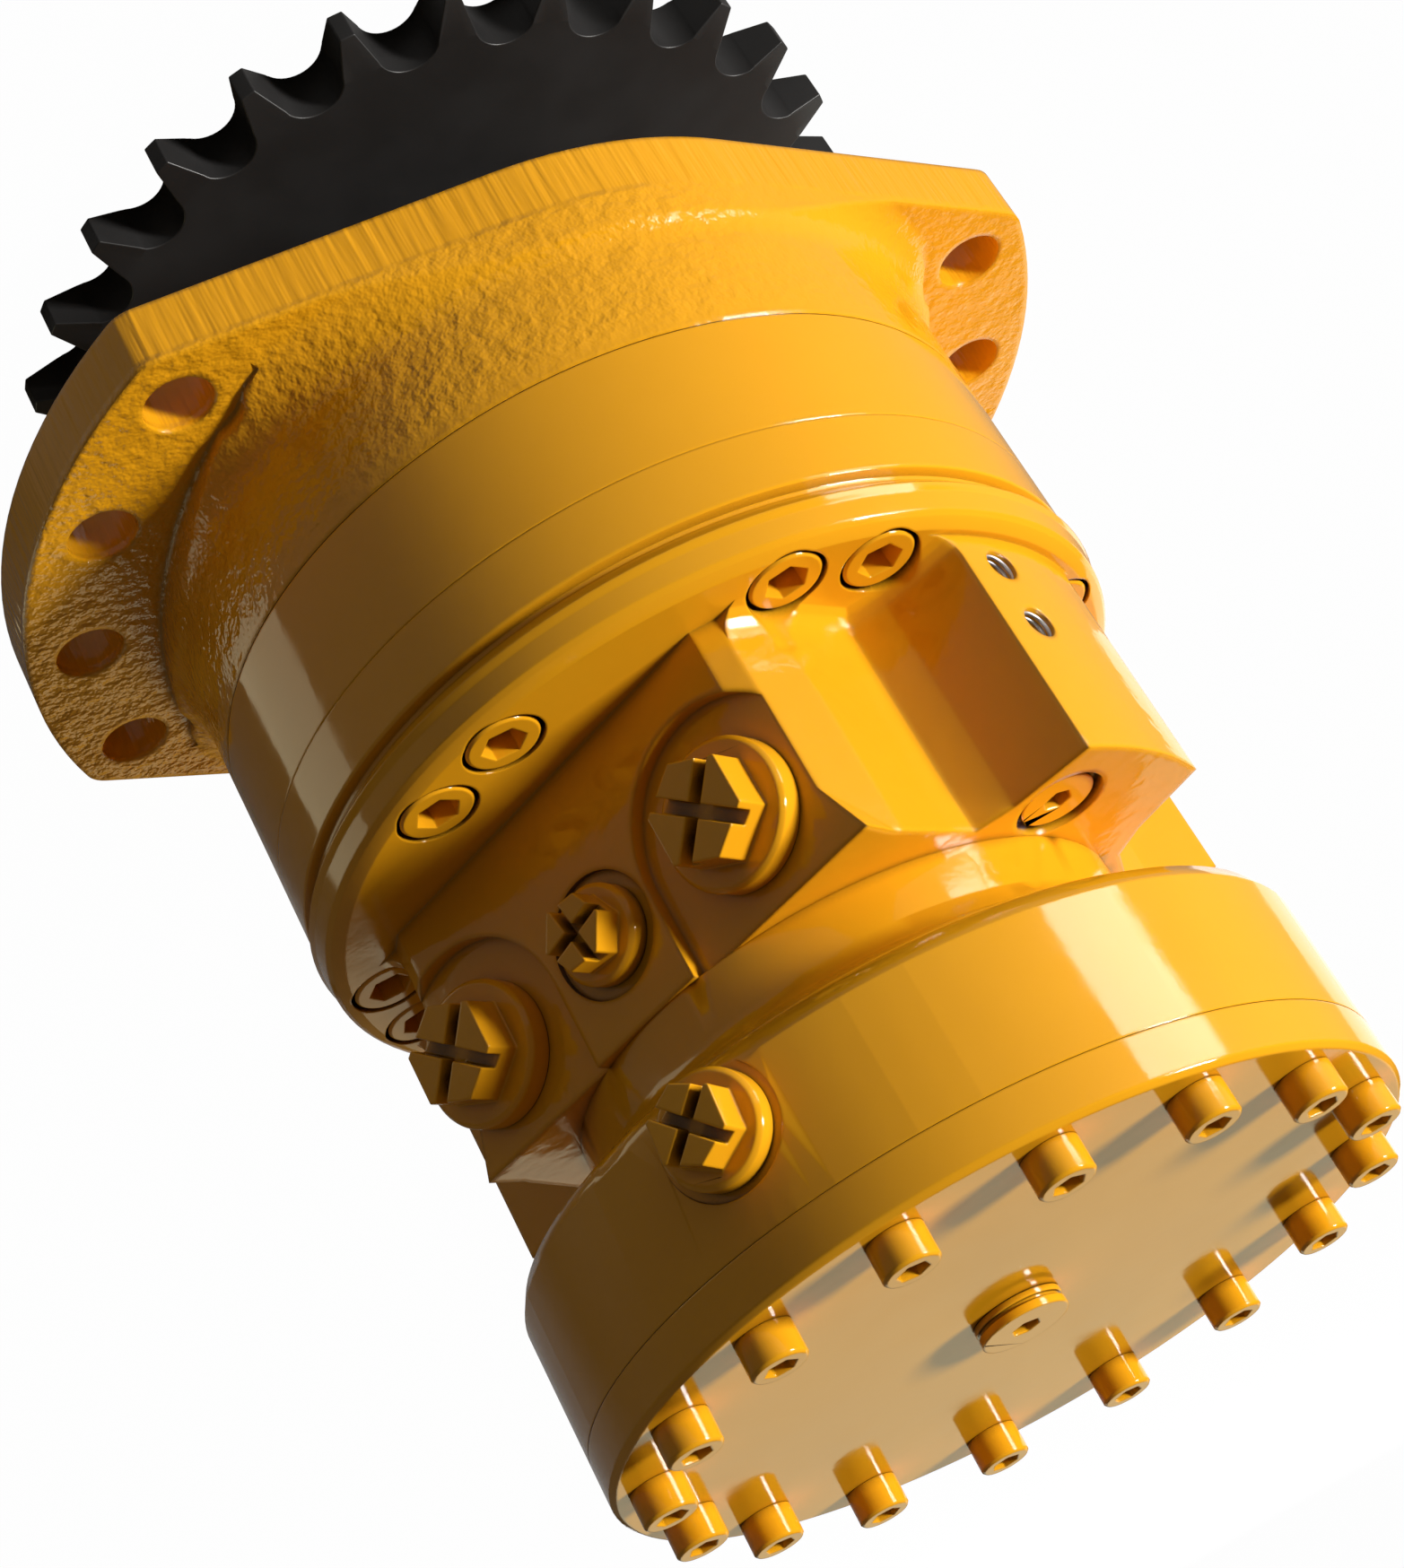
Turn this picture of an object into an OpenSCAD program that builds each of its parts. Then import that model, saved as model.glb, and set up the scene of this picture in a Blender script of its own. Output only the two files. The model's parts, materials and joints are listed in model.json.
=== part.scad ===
// Radial piston hydraulic motor with a drive sprocket and a spring-applied parking brake.
// The origin is at the centre of the mounting face. +Z runs along the shaft towards the brake
// cover, and +X runs along the long axis of the mounting flange.

/* [Mounting flange] */
// Thickness of the flange
flange_t = 17; // [12:1:25]
// Outer radius of the two lobes
lobe_r = 141; // [138:1:150]
// Half angle of each lobe, to its corner
lobe_angle = 33; // [31:1:36]
// Radius that the straight edges between the lobes touch
waist_r = 107; // [105:1:110]
// Distance from a lobe's rim to the circle of bolt holes
flange_edge = 16; // [14:1:18]
// Diameter of a flange hole
flange_hole_d = 17.5; // [13:0.5:18]
// Angle from one flange hole to the next
flange_hole_step = 20; // [18:1:20]
// Radius of the locating pilot
pilot_r = 90; // [75:1:95]
// Height of the pilot beyond the mounting face
pilot_h = 10; // [10:1:11]

/* [Case] */
// Radius of the machined case and of the cam ring
case_r = 105; // [104.5:0.5:107]
// Distance from the mounting face to the cam ring
front_case_l = 58.4; // [57:0.2:60]
// Width of the cam ring
cam_ring_w = 32.8; // [32:0.2:36]
// Distance from the cam ring to the bolt ledge
lip_l = 32; // [30:0.5:36]
// Radius of the rounded lip
lip_r = 107.4; // [106:0.2:109]
// Radius of the ledge's outer edge
ledge_r = 101.2; // [101:0.2:103]
// Distance from the ledge to the port block's end face
block_l = 62; // [60:1:70]
// Outer radius of the port block
block_r = 99.6; // [99:0.2:101]
// Distance from the axis to the cast port face
port_face_d = 70; // [69:0.5:72]
// Depth of the machined pads below the cast port face
port_pad_depth = 4; // [2:0.5:5]

/* [Case bolts] */
// Radius of the circle of case bolts
case_bolt_r = 92.2; // [91.5:0.1:92.5]
// Angle between the two bolts of a pair
case_bolt_pair = 15; // [14.5:0.5:16]
// Diameter of a case bolt
case_bolt_d = 12; // [10:1:12]

/* [Ports] */
// Distance from the ledge to the ports' centres
port_z = 39; // [37:0.5:40]
// Sideways place of port A
port_a_y = -39; // [-40:0.5:-38]
// Sideways place of the drain port
drain_y = 3; // [2:0.5:5]
// Sideways place of port B
port_b_y = 47; // [46:0.5:48]
// Thread diameter of ports A and B
port_d = 26.4; // [22:0.2:27]
// Thread diameter of the drain port
drain_d = 16.6; // [13:0.2:17]
// Thread diameter of the brake port and of the end plug
small_port_d = 13.2; // [10:0.2:14]

/* [Brake] */
// Radius of the neck between the port block and the brake
neck_r = 69.5; // [68.5:0.5:72]
// Radius of the brake housing and its cover
brake_r = 98.6; // [97.5:0.2:100]
// Length of the brake housing
brake_l = 66.5; // [66:0.5:70]
// Thickness of the brake cover
cover_t = 11.7; // [9:0.1:14]
// Distance from the cover's rim to the circle of cover screws
cover_screw_edge = 10.6; // [9.6:0.2:11.6]
// Number of cover screws
cover_screws_n = 16; // [8:2:18]
// Diameter of a cover screw
cover_screw_d = 8; // [6:1:8]
// Angle of the first cover screw
cover_screw_angle = 16.32; // [15:0.01:18]
// Number of brake discs
brake_discs_n = 3; // [2:1:3]

/* [Piston mechanism] */
// Number of pistons
pistons_n = 10; // [10:1:10]
// Number of cam lobes
lobes_n = 8; // [8:1:8]
// Stroke that a cam lobe gives
stroke = 8; // [5:0.5:8]
// Radius of a piston's bore
piston_bore_r = 12.5; // [12:0.1:12.6]
// Radius of a cam roller
roller_r = 8; // [7:0.1:8.2]
// Length of a cam roller
roller_l = 17; // [14:0.5:17.5]
// Outer radius of the cylinder block
block_rotor_r = 71.5; // [71:0.1:72]

/* [Shaft and sprocket] */
// Radius of the shaft in its bearings
shaft_r = 30; // [29.5:0.1:30.5]
// Radius of the shaft where the seal runs
seal_r = 37; // [36.5:0.1:37.5]
// Radius over the teeth of the main splines
spline_r = 29; // [28.5:0.1:29.2]
// Number of teeth on the main splines
spline_n = 22; // [18:1:24]
// Radius of the brake shaft
brake_shaft_r = 17; // [16:0.5:17.5]
// Number of sprocket teeth
sprocket_n = 27; // [24:1:30]
// Chain pitch of the sprocket
chain_pitch = 25.4; // [24:0.1:26]
// Diameter of the chain's rollers
chain_roller_d = 15.88; // [15:0.02:16.5]
// Thickness of the sprocket plate
sprocket_t = 14.6; // [12:0.2:16]
// Length of the sprocket's hub and plate together
sprocket_l = 45.5; // [44:0.5:50]
// Radius of the sprocket's hub
sprocket_hub_r = 42; // [38:1:50]

/* [Hidden] */

$fn = 96;
paint = [0.96, 0.70, 0.12];
dark_steel = [0.13, 0.13, 0.14];
bright_steel = [0.72, 0.73, 0.75];
bronze = [0.70, 0.52, 0.25];
seal_black = [0.06, 0.06, 0.06];

// Clearances: between pieces that are fixed together, and between pieces that turn or slide.
fit = 0.03;
run = 0.05;
// Overshoot of cuts beyond a face.
cut = 1;

// Levels along the axis.
cam_z = front_case_l;
rear_z = cam_z + cam_ring_w;
ledge_z = rear_z + lip_l;
neck_z = ledge_z + block_l;
cover_z = neck_z + brake_l;
cover_top_z = cover_z + cover_t;

// Circles of holes, from the rims that they sit in.
flange_bolt_r = lobe_r - flange_edge;
cover_screw_r = brake_r - cover_screw_edge;

// Angles round the axis.
port_angle = -30;
pair_angles = [for (i = [0:5]) port_angle + 60 * i];
case_bolt_angles = [for (a = pair_angles) for (s = [-1, 1]) a + s * case_bolt_pair / 2];
brake_port_angle = -39.93;
pad_hole_angle = -113.4;

// Case bolts: heads sunk in counterbores on the ledge, threads in the front case.
case_bolt_head_r = case_bolt_d * 0.75;
case_bolt_head_h = case_bolt_d;
case_bolt_seat_z = ledge_z - case_bolt_head_h;
case_bolt_thread_l = 22;
case_bolt_end_z = front_case_l - case_bolt_thread_l;
counterbore_r = case_bolt_head_r + 1;
scoop_h = 10;

// Tapered roller bearings: both are the same size, back to back round a shoulder.
bearing_r = 47.5;
cup_mouth_r = 45.2;
race_angle = 13;
rollers_n = 20;
roller_half_angle = 1.13;
front_cone_z = 1;
bearing_gap = 5;
bearing_shoulder_r = 41;
nut_h = 6.9;
nut_gap = 0.7;
block_z = cam_z + 1.2;
rear_cone_z = block_z - nut_gap - nut_h;
bearing_w = (rear_cone_z - front_cone_z - bearing_gap) / 2;
cup_w = bearing_w - 5.5;
front_cup_back_z = front_cone_z + bearing_w;
rear_cup_back_z = front_cup_back_z + bearing_gap;
nut_r = 42;
nut_slots_n = 4;

// Shaft seal, in the same bore as the front cup.
seal_w = 9;
seal_z = -9.5;

// Output shaft.
hub_face_z = -pilot_h - 2.5;
spline_depth = 2;
shaft_end_z = hub_face_z - sprocket_l + 18.2;
block_end_z = rear_z - 1;
shaft_tail_z = block_end_z - 1;
tail_spline_r = 14.5;
tail_spline_n = 16;
tail_spline_depth = 1.5;
tail_bore_l = 26;

// Sprocket.
sprocket_far_z = hub_face_z - sprocket_l;
pitch_r = chain_pitch / 2 / sin(180 / sprocket_n);
tip_r = pitch_r + 7.1;
tooth_flank_angle = 24;
tooth_tip_t = 8.4;
tooth_bevel_r = pitch_r - 3.5;
sprocket_phase = -52.8;
washer_seat_z = shaft_end_z - 0.6;
washer_t = 5;
washer_r = spline_r + 4;
sprocket_screw_d = 12;

// Cam and pistons. At rest the pistons are drawn in, clear of the cam.
cam_crest_r = 73.2;
cam_mean_r = cam_crest_r + stroke / 2;
cam_phase = -4.5;
cam_points_n = 160;
bore_z = (block_z + block_end_z) / 2;
bore_floor_r = 42;
roller_rest_r = block_rotor_r + 0.5 - roller_r;
piston_foot_r = bore_floor_r + 1;
piston_top_r = roller_rest_r + 2;
piston_ring_r = bore_floor_r + 7;
passage_r = 44;
passage_hole_r = 3;

// Distributor: three steps, with a gallery for each port.
dist_r = [62, 57, 52];
dist_front_z = block_end_z + 0.1;
dist_step_z = [rear_z + 14.8, rear_z + 34.8, rear_z + 56.8];
dist_bore_r = brake_shaft_r + 3;
gallery_b_z = rear_z + 22.8;
gallery_a_z = rear_z + 42.8;
gallery_b_r = 68;
gallery_a_r = 56;
gallery_w = 8;
dist_ring_z = [rear_z + 8.8, rear_z + 30.8, rear_z + 52.8];
ring_section_r = 1.45;
dist_spring_t = 1.8;
spring_step_z = dist_step_z[2] + dist_spring_t + 0.2;
drain_chamber_r = 40;
drain_chamber_end_z = spring_step_z + 20;

// Ports.
port_centre_z = ledge_z + port_z;
port_pad_d = port_face_d - port_pad_depth;
port_pad_r = 26.5;
port_thread_l = 16;
port_bore_r = 9;
port_bore_floor_d = 36;
passage_d = 42;
port_passage_r = 5;
drain_spot_depth = 1.5;
drain_thread_l = 12;
pad_hole_r = 4.25;
pad_hole_l = 18;
pad_hole_z = [ledge_z + 8.7, ledge_z + 25.8];
pad_flat_d = block_r - 0.4;
end_plug_at = [-29.7, -74.7];
end_plug_head_r = 9;
end_plug_head_h = 3;
end_plug_spot_r = end_plug_head_r + 1.8;
end_plug_sunk = 1;
end_plug_l = 13;

// Brake housing and what is in it.
spigot_r = 45;
spigot_h = 4;
housing_screw_r = 57;
housing_screw_d = 10;
housing_screws_n = 8;
housing_screw_l = 22;
pack_floor_z = neck_z + 20.8;
chamber_r = cover_screw_r - 9;
housing_bore_r = chamber_r - 8;
chamber_z = neck_z + 39.8;
brake_port_z = neck_z + 43;
plate_t = 1.3;
disc_t = 2;
pack_gap = 0.05;
pack_z = pack_floor_z + 1;
pack_step = plate_t + disc_t + 2 * pack_gap;
pack_end_z = pack_z + brake_discs_n * pack_step + plate_t;
plate_tab_r = housing_bore_r + 3;
plate_tab_w = 10;
plate_tabs_n = 6;
disc_r = housing_bore_r - 5;
hub_r = 38;
hub_spline_n = 30;
hub_spline_depth = 2;
piston_nose_z = pack_end_z + 0.1;
piston_step_z = neck_z + 46.8;
piston_crown_z = neck_z + 58.3;
piston_web_z = neck_z + 39;
piston_web_t = 12;
piston_recess_r = chamber_r - 10;
piston_hollow_r = 42;
cover_spigot_h = 4;
spring_t = 4;
spring_inner_r = 32;
spring_outer_r = piston_recess_r - 2;

// Cover screws and plug.
cover_screw_head_r = 6.5;
cover_screw_head_h = 8;
cover_screw_thread_l = 16;
cover_plug_r = 10.8;
cover_plug_proud = 4.6;
cover_plug_thread_d = 13.2;
cover_plug_thread_l = 9;

// Radius of a hexagon's corners from its width across flats.
function hex_r(across) = across / 2 / cos(30);

// Points of an outline with straight-sided splines.
function spline_points(n, tip, depth, gap = 0) = [for (i = [0:n - 1])
    for (p = [[-depth, -0.32], [0, -0.2], [0, 0.2], [-depth, 0.32]])
        let (r = tip + p[0] + gap, grow = sign(p[1]) * gap * n / (2 * PI * tip),
             a = (i + p[1] + grow) * 360 / n)
            [r * cos(a), r * sin(a)]];

// Radius of the cam at the angle a.
function cam_r(a) = cam_mean_r - stroke / 2 * cos(lobes_n * (a - cam_phase));

module ring(outer, inner, h) {
    difference() {
        cylinder(r = outer, h = h);
        translate([0, 0, -cut]) cylinder(r = inner, h = h + 2 * cut);
    }
}

// Socket-head screw, head downwards face at z = 0 and shank below it.
module cap_screw(d, l, head_r, head_h, bevel = 0.6) {
    difference() {
        union() {
            cylinder(r = head_r, h = head_h - bevel);
            translate([0, 0, head_h - bevel]) cylinder(r1 = head_r, r2 = head_r - bevel, h = bevel);
            translate([0, 0, -l]) cylinder(d = d, h = l + 0.1);
        }
        translate([0, 0, head_h - d / 2]) cylinder(r = hex_r(0.8 * d), h = d / 2 + cut, $fn = 6);
    }
}

// Hexagon plug with a collar and a cross slot. The collar's seat is at z = 0.
module hex_plug(thread_d, thread_l, collar_r, collar_h, across, hex_h, slot_w, slot_turn) {
    bevel = 1;
    difference() {
        union() {
            translate([0, 0, -thread_l]) cylinder(d = thread_d - 2 * fit, h = thread_l + 0.1);
            cylinder(r = collar_r, h = collar_h - bevel);
            translate([0, 0, collar_h - bevel]) cylinder(r1 = collar_r, r2 = collar_r - bevel, h = bevel);
            rotate([0, 0, slot_turn + 15]) cylinder(r = hex_r(across), h = collar_h + hex_h, $fn = 6);
        }
        for (turn = [0, 90]) rotate([0, 0, slot_turn + turn])
            translate([-across, -slot_w / 2, collar_h + hex_h - 4.5]) cube([2 * across, slot_w, 4.5 + cut]);
    }
}

// Moves a piece from z = 0 upwards to the port face: x outwards, y sideways, at the level z.
module at_port(distance, side, z) {
    rotate([0, 0, port_angle]) translate([distance, side, z]) rotate([0, 90, 0]) children();
}

module at_case_bolts(z) {
    for (a = case_bolt_angles) rotate([0, 0, a]) translate([case_bolt_r, 0, z]) children();
}

module at_cover_screws(z) {
    for (i = [0:cover_screws_n - 1]) rotate([0, 0, cover_screw_angle + i * 360 / cover_screws_n])
        translate([cover_screw_r, 0, z]) children();
}

module at_housing_screws(z) {
    for (i = [0:housing_screws_n - 1]) rotate([0, 0, (i + 0.5) * 360 / housing_screws_n])
        translate([housing_screw_r, 0, z]) children();
}

// Angle from a lobe's middle to where its straight edge meets the waist.
waist_angle = lobe_angle + acos(waist_r / lobe_r);
corner_round = 9;

// The flange's outline: a waist, and two lobes with straight edges and rounded corners.
module flange_outline() {
    reach = lobe_r * 1.3;
    corner = lobe_r * [cos(lobe_angle), sin(lobe_angle)];
    touch = waist_r * [cos(waist_angle), sin(waist_angle)];
    round_angle = waist_angle - acos((waist_r - corner_round) / (lobe_r - corner_round));
    round_at = (lobe_r - corner_round) * [cos(round_angle), sin(round_angle)];
    round_out = lobe_r * [cos(round_angle), sin(round_angle)];
    round_side = round_at + corner_round * [cos(waist_angle), sin(waist_angle)];
    difference() {
        union() {
            circle(r = waist_r);
            intersection() {
                circle(r = lobe_r);
                for (turn = [0, 180]) rotate(turn)
                    polygon([[0, 0], [touch.x, -touch.y], [corner.x, -corner.y], [reach, -corner.y],
                        [reach, corner.y], [corner.x, corner.y], [touch.x, touch.y]]);
            }
        }
        for (turn = [0, 180]) for (side = [0, 1]) rotate(turn) mirror([0, side]) difference() {
            polygon([round_at, round_out, corner * 1.03, round_side]);
            translate(round_at) circle(r = corner_round);
        }
    }
}

// Angles of the flange holes: four on each lobe.
flange_hole_angles = [for (side = [0, 180]) for (i = [-1.5:1:1.5]) side + i * flange_hole_step];

// Flared neck of the cast front case.
flare_start_z = flange_t + 15;
flare_foot_r = case_r + 12;
lobe_foot_back = 60;
lobe_foot_r = case_r + lobe_foot_back + 1;
module front_case() {
    lobe_flat_angle = 1.5 * flange_hole_step + 8;
    spot_r = flange_hole_d / 2 + 6.5;
    flare_r = ((flare_start_z - flange_t) ^ 2 + (flare_foot_r - case_r) ^ 2) / 2 / (flare_foot_r - case_r);
    color(paint) difference() {
        union() {
            linear_extrude(flange_t) flange_outline();
            translate([0, 0, -pilot_h]) cylinder(r = pilot_r, h = pilot_h + cut);
            cylinder(r = case_r, h = front_case_l);
            difference() {
                intersection() {
                    linear_extrude(flare_start_z) flange_outline();
                    rotate_extrude() difference() {
                        square([flare_foot_r, flare_start_z]);
                        translate([case_r + flare_r, flare_start_z]) circle(r = flare_r);
                    }
                }
                for (turn = [0, 180]) rotate([0, 0, turn]) translate([0, 0, flange_t])
                    linear_extrude(flare_start_z) difference() {
                        polygon([[0, 0], lobe_r * 2 * [cos(lobe_flat_angle), -sin(lobe_flat_angle)],
                            lobe_r * 2 * [cos(lobe_flat_angle), sin(lobe_flat_angle)]]);
                        translate([-lobe_foot_back, 0]) circle(r = lobe_foot_r);
                    }
                for (a = flange_hole_angles) rotate([0, 0, a])
                    translate([flange_bolt_r, 0, flange_t]) cylinder(r = spot_r, h = flare_start_z);
            }
        }
        for (a = flange_hole_angles) rotate([0, 0, a])
            translate([flange_bolt_r, 0, -cut]) cylinder(d = flange_hole_d, h = flange_t + 2 * cut);
        translate([0, 0, -pilot_h - cut]) cylinder(r = bearing_r + fit, h = pilot_h + cut + front_cup_back_z);
        cylinder(r = bearing_shoulder_r, h = front_case_l);
        translate([0, 0, rear_cup_back_z]) cylinder(r = bearing_r + fit, h = front_case_l);
        translate([0, 0, rear_cup_back_z + cup_w]) cylinder(r = bearing_r + 5, h = front_case_l);
        translate([0, 0, flange_t + cut]) difference() {
            cylinder(r = case_bolt_r - 14, h = front_case_l);
            translate([0, 0, -cut]) cylinder(r = bearing_r + 10, h = front_case_l + 2 * cut);
        }
        at_case_bolts(case_bolt_end_z - 3) cylinder(d = case_bolt_d + 2 * fit, h = case_bolt_thread_l + 4);
    }
}

module cam_ring() {
    color(paint) translate([0, 0, cam_z]) difference() {
        cylinder(r = case_r, h = cam_ring_w);
        translate([0, 0, -cut]) linear_extrude(cam_ring_w + 2 * cut)
            polygon([for (i = [0:cam_points_n - 1]) let (a = i * 360 / cam_points_n)
                cam_r(a) * [cos(a), sin(a)]]);
        at_case_bolts(-cut) cylinder(d = case_bolt_d + 1, h = cam_ring_w + 2 * cut);
    }
}

// Pockets in the port block, as outlines with x outwards: one is the same both ways, and the two
// beside the port face have a straight wall that ends in a facet.
foot_r = 6;
foot_steps = 4;
pocket_reach = block_r * 1.25;
pocket_floor_d = 73;
pocket_half_w = 29;
pocket_side = [[pocket_reach, -pocket_half_w], [95.4, -pocket_half_w], [79, -16], [pocket_floor_d, -8]];
pocket_even = concat(pocket_side, [for (i = [3:-1:0]) [pocket_side[i].x, -pocket_side[i].y]]);
ridge = [82.4, 14];
pocket_uneven = concat(pocket_side, [ridge, [pocket_reach, ridge.y]]);
facet_low = [[84, 8], ridge, [84.2, 27.7], [86.5, 45.2], [pocket_reach, 45.2], [pocket_reach, 8]];
facet_high = [[84, 8], ridge, [89.2, 24.7], [102.2, 45.2], [pocket_reach, 45.2], [pocket_reach, 8]];
facet_lean_z = ledge_z + 27;

// Cutter of a pocket, drawn in at its foot so that a fillet stays on the ledge.
module pocket(low, high, lean_z) {
    hull() {
        for (i = [0:foot_steps]) translate([0, 0, ledge_z + foot_r * (1 - sin(90 * i / foot_steps))])
            linear_extrude(0.01) offset(delta = -foot_r * (1 - cos(90 * i / foot_steps))) polygon(low);
        translate([0, 0, lean_z]) linear_extrude(0.01) polygon(low);
        translate([0, 0, neck_z + cut]) linear_extrude(0.01) polygon(high);
    }
}

// The cast port face, between corners that are cut off.
port_half_w = 53.5;
port_corner_in = 3.9;
port_corner_w = 5.6;
module block_outline() {
    difference() {
        circle(r = block_r);
        rotate(port_angle) translate([port_face_d, -pocket_reach]) square([pocket_reach, 2 * pocket_reach]);
        for (side = [0, 1]) rotate(port_angle) mirror([0, side]) translate([port_face_d, port_half_w])
            polygon([[0, 0], [-port_corner_in, port_corner_w], [-port_corner_in, pocket_half_w],
                [pocket_half_w, pocket_half_w], [pocket_half_w, 0]]);
    }
}

// Fillet between the ledge and the port face, turned round the face's two corners.
module port_foot() {
    rotate([0, 0, port_angle]) translate([port_face_d, 0, ledge_z]) {
        translate([0, port_half_w, 0]) rotate([90, 0, 0]) linear_extrude(2 * port_half_w) difference() {
            translate([-cut, -cut]) square(foot_r + cut);
            translate([foot_r, foot_r]) circle(r = foot_r);
        }
        for (side = [-1, 1]) translate([0, side * port_half_w, 0]) rotate_extrude() difference() {
            translate([0, -cut]) square([foot_r, foot_r + cut]);
            translate([foot_r, foot_r]) circle(r = foot_r);
        }
    }
}

module rear_case() {
    lip_fillet_z = rear_z + 11;
    lip_z = rear_z + 16.2;
    lip_end_z = ledge_z - 8.8;
    lip_drop = lip_r - ledge_r;
    lip_round = (lip_drop ^ 2 + (ledge_z - lip_end_z) ^ 2) / 2 / lip_drop;
    lip_turn = asin((ledge_z - lip_end_z) / lip_round);
    color(paint) difference() {
        union() {
            rotate_extrude() polygon(concat([[0, rear_z], [case_r, rear_z], [case_r, lip_fillet_z], [lip_r, lip_z]],
                [for (i = [0:7]) [lip_r - lip_round * (1 - cos(i * lip_turn / 7)),
                    lip_end_z + lip_round * sin(i * lip_turn / 7)]], [[0, ledge_z]]));
            difference() {
                translate([0, 0, ledge_z - 5]) linear_extrude(block_l + 5) block_outline();
                for (i = [2:4]) rotate([0, 0, port_angle + 60 * i])
                    pocket(pocket_even, pocket_even, facet_lean_z);
                for (side = [0, 1]) rotate([0, 0, port_angle]) mirror([0, side, 0]) rotate([0, 0, -60]) {
                    pocket(pocket_uneven, pocket_uneven, facet_lean_z);
                    pocket(facet_low, facet_high, facet_lean_z);
                }
            }
            port_foot();
        }
        // Machined pads round the ports
        for (side = [port_a_y, port_b_y]) at_port(port_pad_d, side, port_centre_z) {
            cylinder(r = port_pad_r, h = lip_r);
            translate([-neck_z, -port_pad_r, 0]) cube([neck_z, 2 * port_pad_r, lip_r]);
        }
        at_port(port_face_d - drain_spot_depth, drain_y, port_centre_z) cylinder(r = 14.5, h = lip_r);
        // Ports A and B, with cored passages to their galleries
        for (p = [[port_a_y, gallery_a_z], [port_b_y, gallery_b_z]]) {
            at_port(port_pad_d - port_thread_l, p[0], port_centre_z) cylinder(d = port_d, h = lip_r);
            at_port(port_bore_floor_d, p[0], port_centre_z) cylinder(r = port_bore_r, h = lip_r);
            rotate([0, 0, port_angle]) translate([passage_d, p[0], p[1]])
                cylinder(r = port_passage_r, h = port_centre_z - p[1]);
        }
        at_port(port_face_d - drain_thread_l, drain_y, port_centre_z) cylinder(d = drain_d, h = lip_r);
        at_port(drain_chamber_r / 2, drain_y, port_centre_z) cylinder(r = 5, h = lip_r);
        // Stepped bore and galleries for the distributor
        for (i = [0:2]) translate([0, 0, rear_z - cut])
            cylinder(r = dist_r[i] + run, h = (i < 2 ? dist_step_z[i] : spring_step_z) - rear_z + cut);
        translate([0, 0, gallery_b_z - gallery_w / 2]) cylinder(r = gallery_b_r, h = gallery_w);
        translate([0, 0, gallery_a_z - gallery_w / 2]) cylinder(r = gallery_a_r, h = gallery_w);
        translate([0, 0, rear_z]) cylinder(r = drain_chamber_r, h = drain_chamber_end_z - rear_z);
        translate([0, 0, rear_z]) cylinder(r = brake_shaft_r + 1.5, h = neck_z);
        translate([0, 0, neck_z - spigot_h - 0.1]) cylinder(r = spigot_r + fit, h = spigot_h + cut);
        // Holes and counterbores for the case bolts
        at_case_bolts(0) rotate_extrude() polygon([[0, rear_z - cut], [case_bolt_d / 2 + 0.5, rear_z - cut],
            [case_bolt_d / 2 + 0.5, case_bolt_seat_z], [counterbore_r, case_bolt_seat_z],
            [counterbore_r, ledge_z + scoop_h], [counterbore_r - 2, ledge_z + scoop_h + 6],
            [0, ledge_z + scoop_h + 6]]);
        // Threaded holes on the pad, the end plug and the brake housing's screws
        for (z = pad_hole_z) rotate([0, 0, pad_hole_angle]) translate([pad_flat_d - pad_hole_l, 0, z])
            rotate([0, 90, 0]) cylinder(r = pad_hole_r, h = pad_hole_l + 3);
        translate([end_plug_at.x, end_plug_at.y, neck_z - end_plug_l - 4])
            cylinder(d = small_port_d, h = end_plug_l + 5);
        translate([end_plug_at.x, end_plug_at.y, neck_z - end_plug_head_h - end_plug_sunk])
            cylinder(r = end_plug_spot_r, h = end_plug_head_h + end_plug_sunk + cut);
        at_housing_screws(neck_z - housing_screw_l / 2 - 1)
            cylinder(d = housing_screw_d + 2 * fit, h = housing_screw_l);
    }
}

module case_bolts() {
    color(paint) at_case_bolts(case_bolt_seat_z)
        cap_screw(case_bolt_d, case_bolt_seat_z - case_bolt_end_z, case_bolt_head_r, case_bolt_head_h);
}

module port_plug(side) {
    color(paint) at_port(port_pad_d, side, port_centre_z)
        hex_plug(port_d, port_thread_l - 1, 17, 6, 22, 9, 3.2, 45);
}

module drain_plug() {
    color(paint) at_port(port_face_d - drain_spot_depth, drain_y, port_centre_z)
        hex_plug(drain_d, drain_thread_l - 3, 11.5, 5, 15, 7, 2.6, 10);
}

brake_port_seat_r = brake_r - 1.1;
module brake_port_plug() {
    color(paint) rotate([0, 0, brake_port_angle]) translate([brake_port_seat_r, 0, brake_port_z])
        rotate([0, 90, 0]) hex_plug(small_port_d, 9, 12.5, 5, 16, 8, 2.6, 40);
}

module end_plug() {
    color(paint) translate([end_plug_at.x, end_plug_at.y, neck_z - end_plug_head_h - end_plug_sunk]) difference() {
        union() {
            translate([0, 0, -end_plug_l + end_plug_head_h]) cylinder(d = small_port_d - 2 * fit, h = end_plug_l);
            cylinder(r = end_plug_head_r, h = end_plug_head_h);
        }
        translate([0, 0, -3]) cylinder(r = hex_r(6), h = 10, $fn = 6);
    }
}

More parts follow.
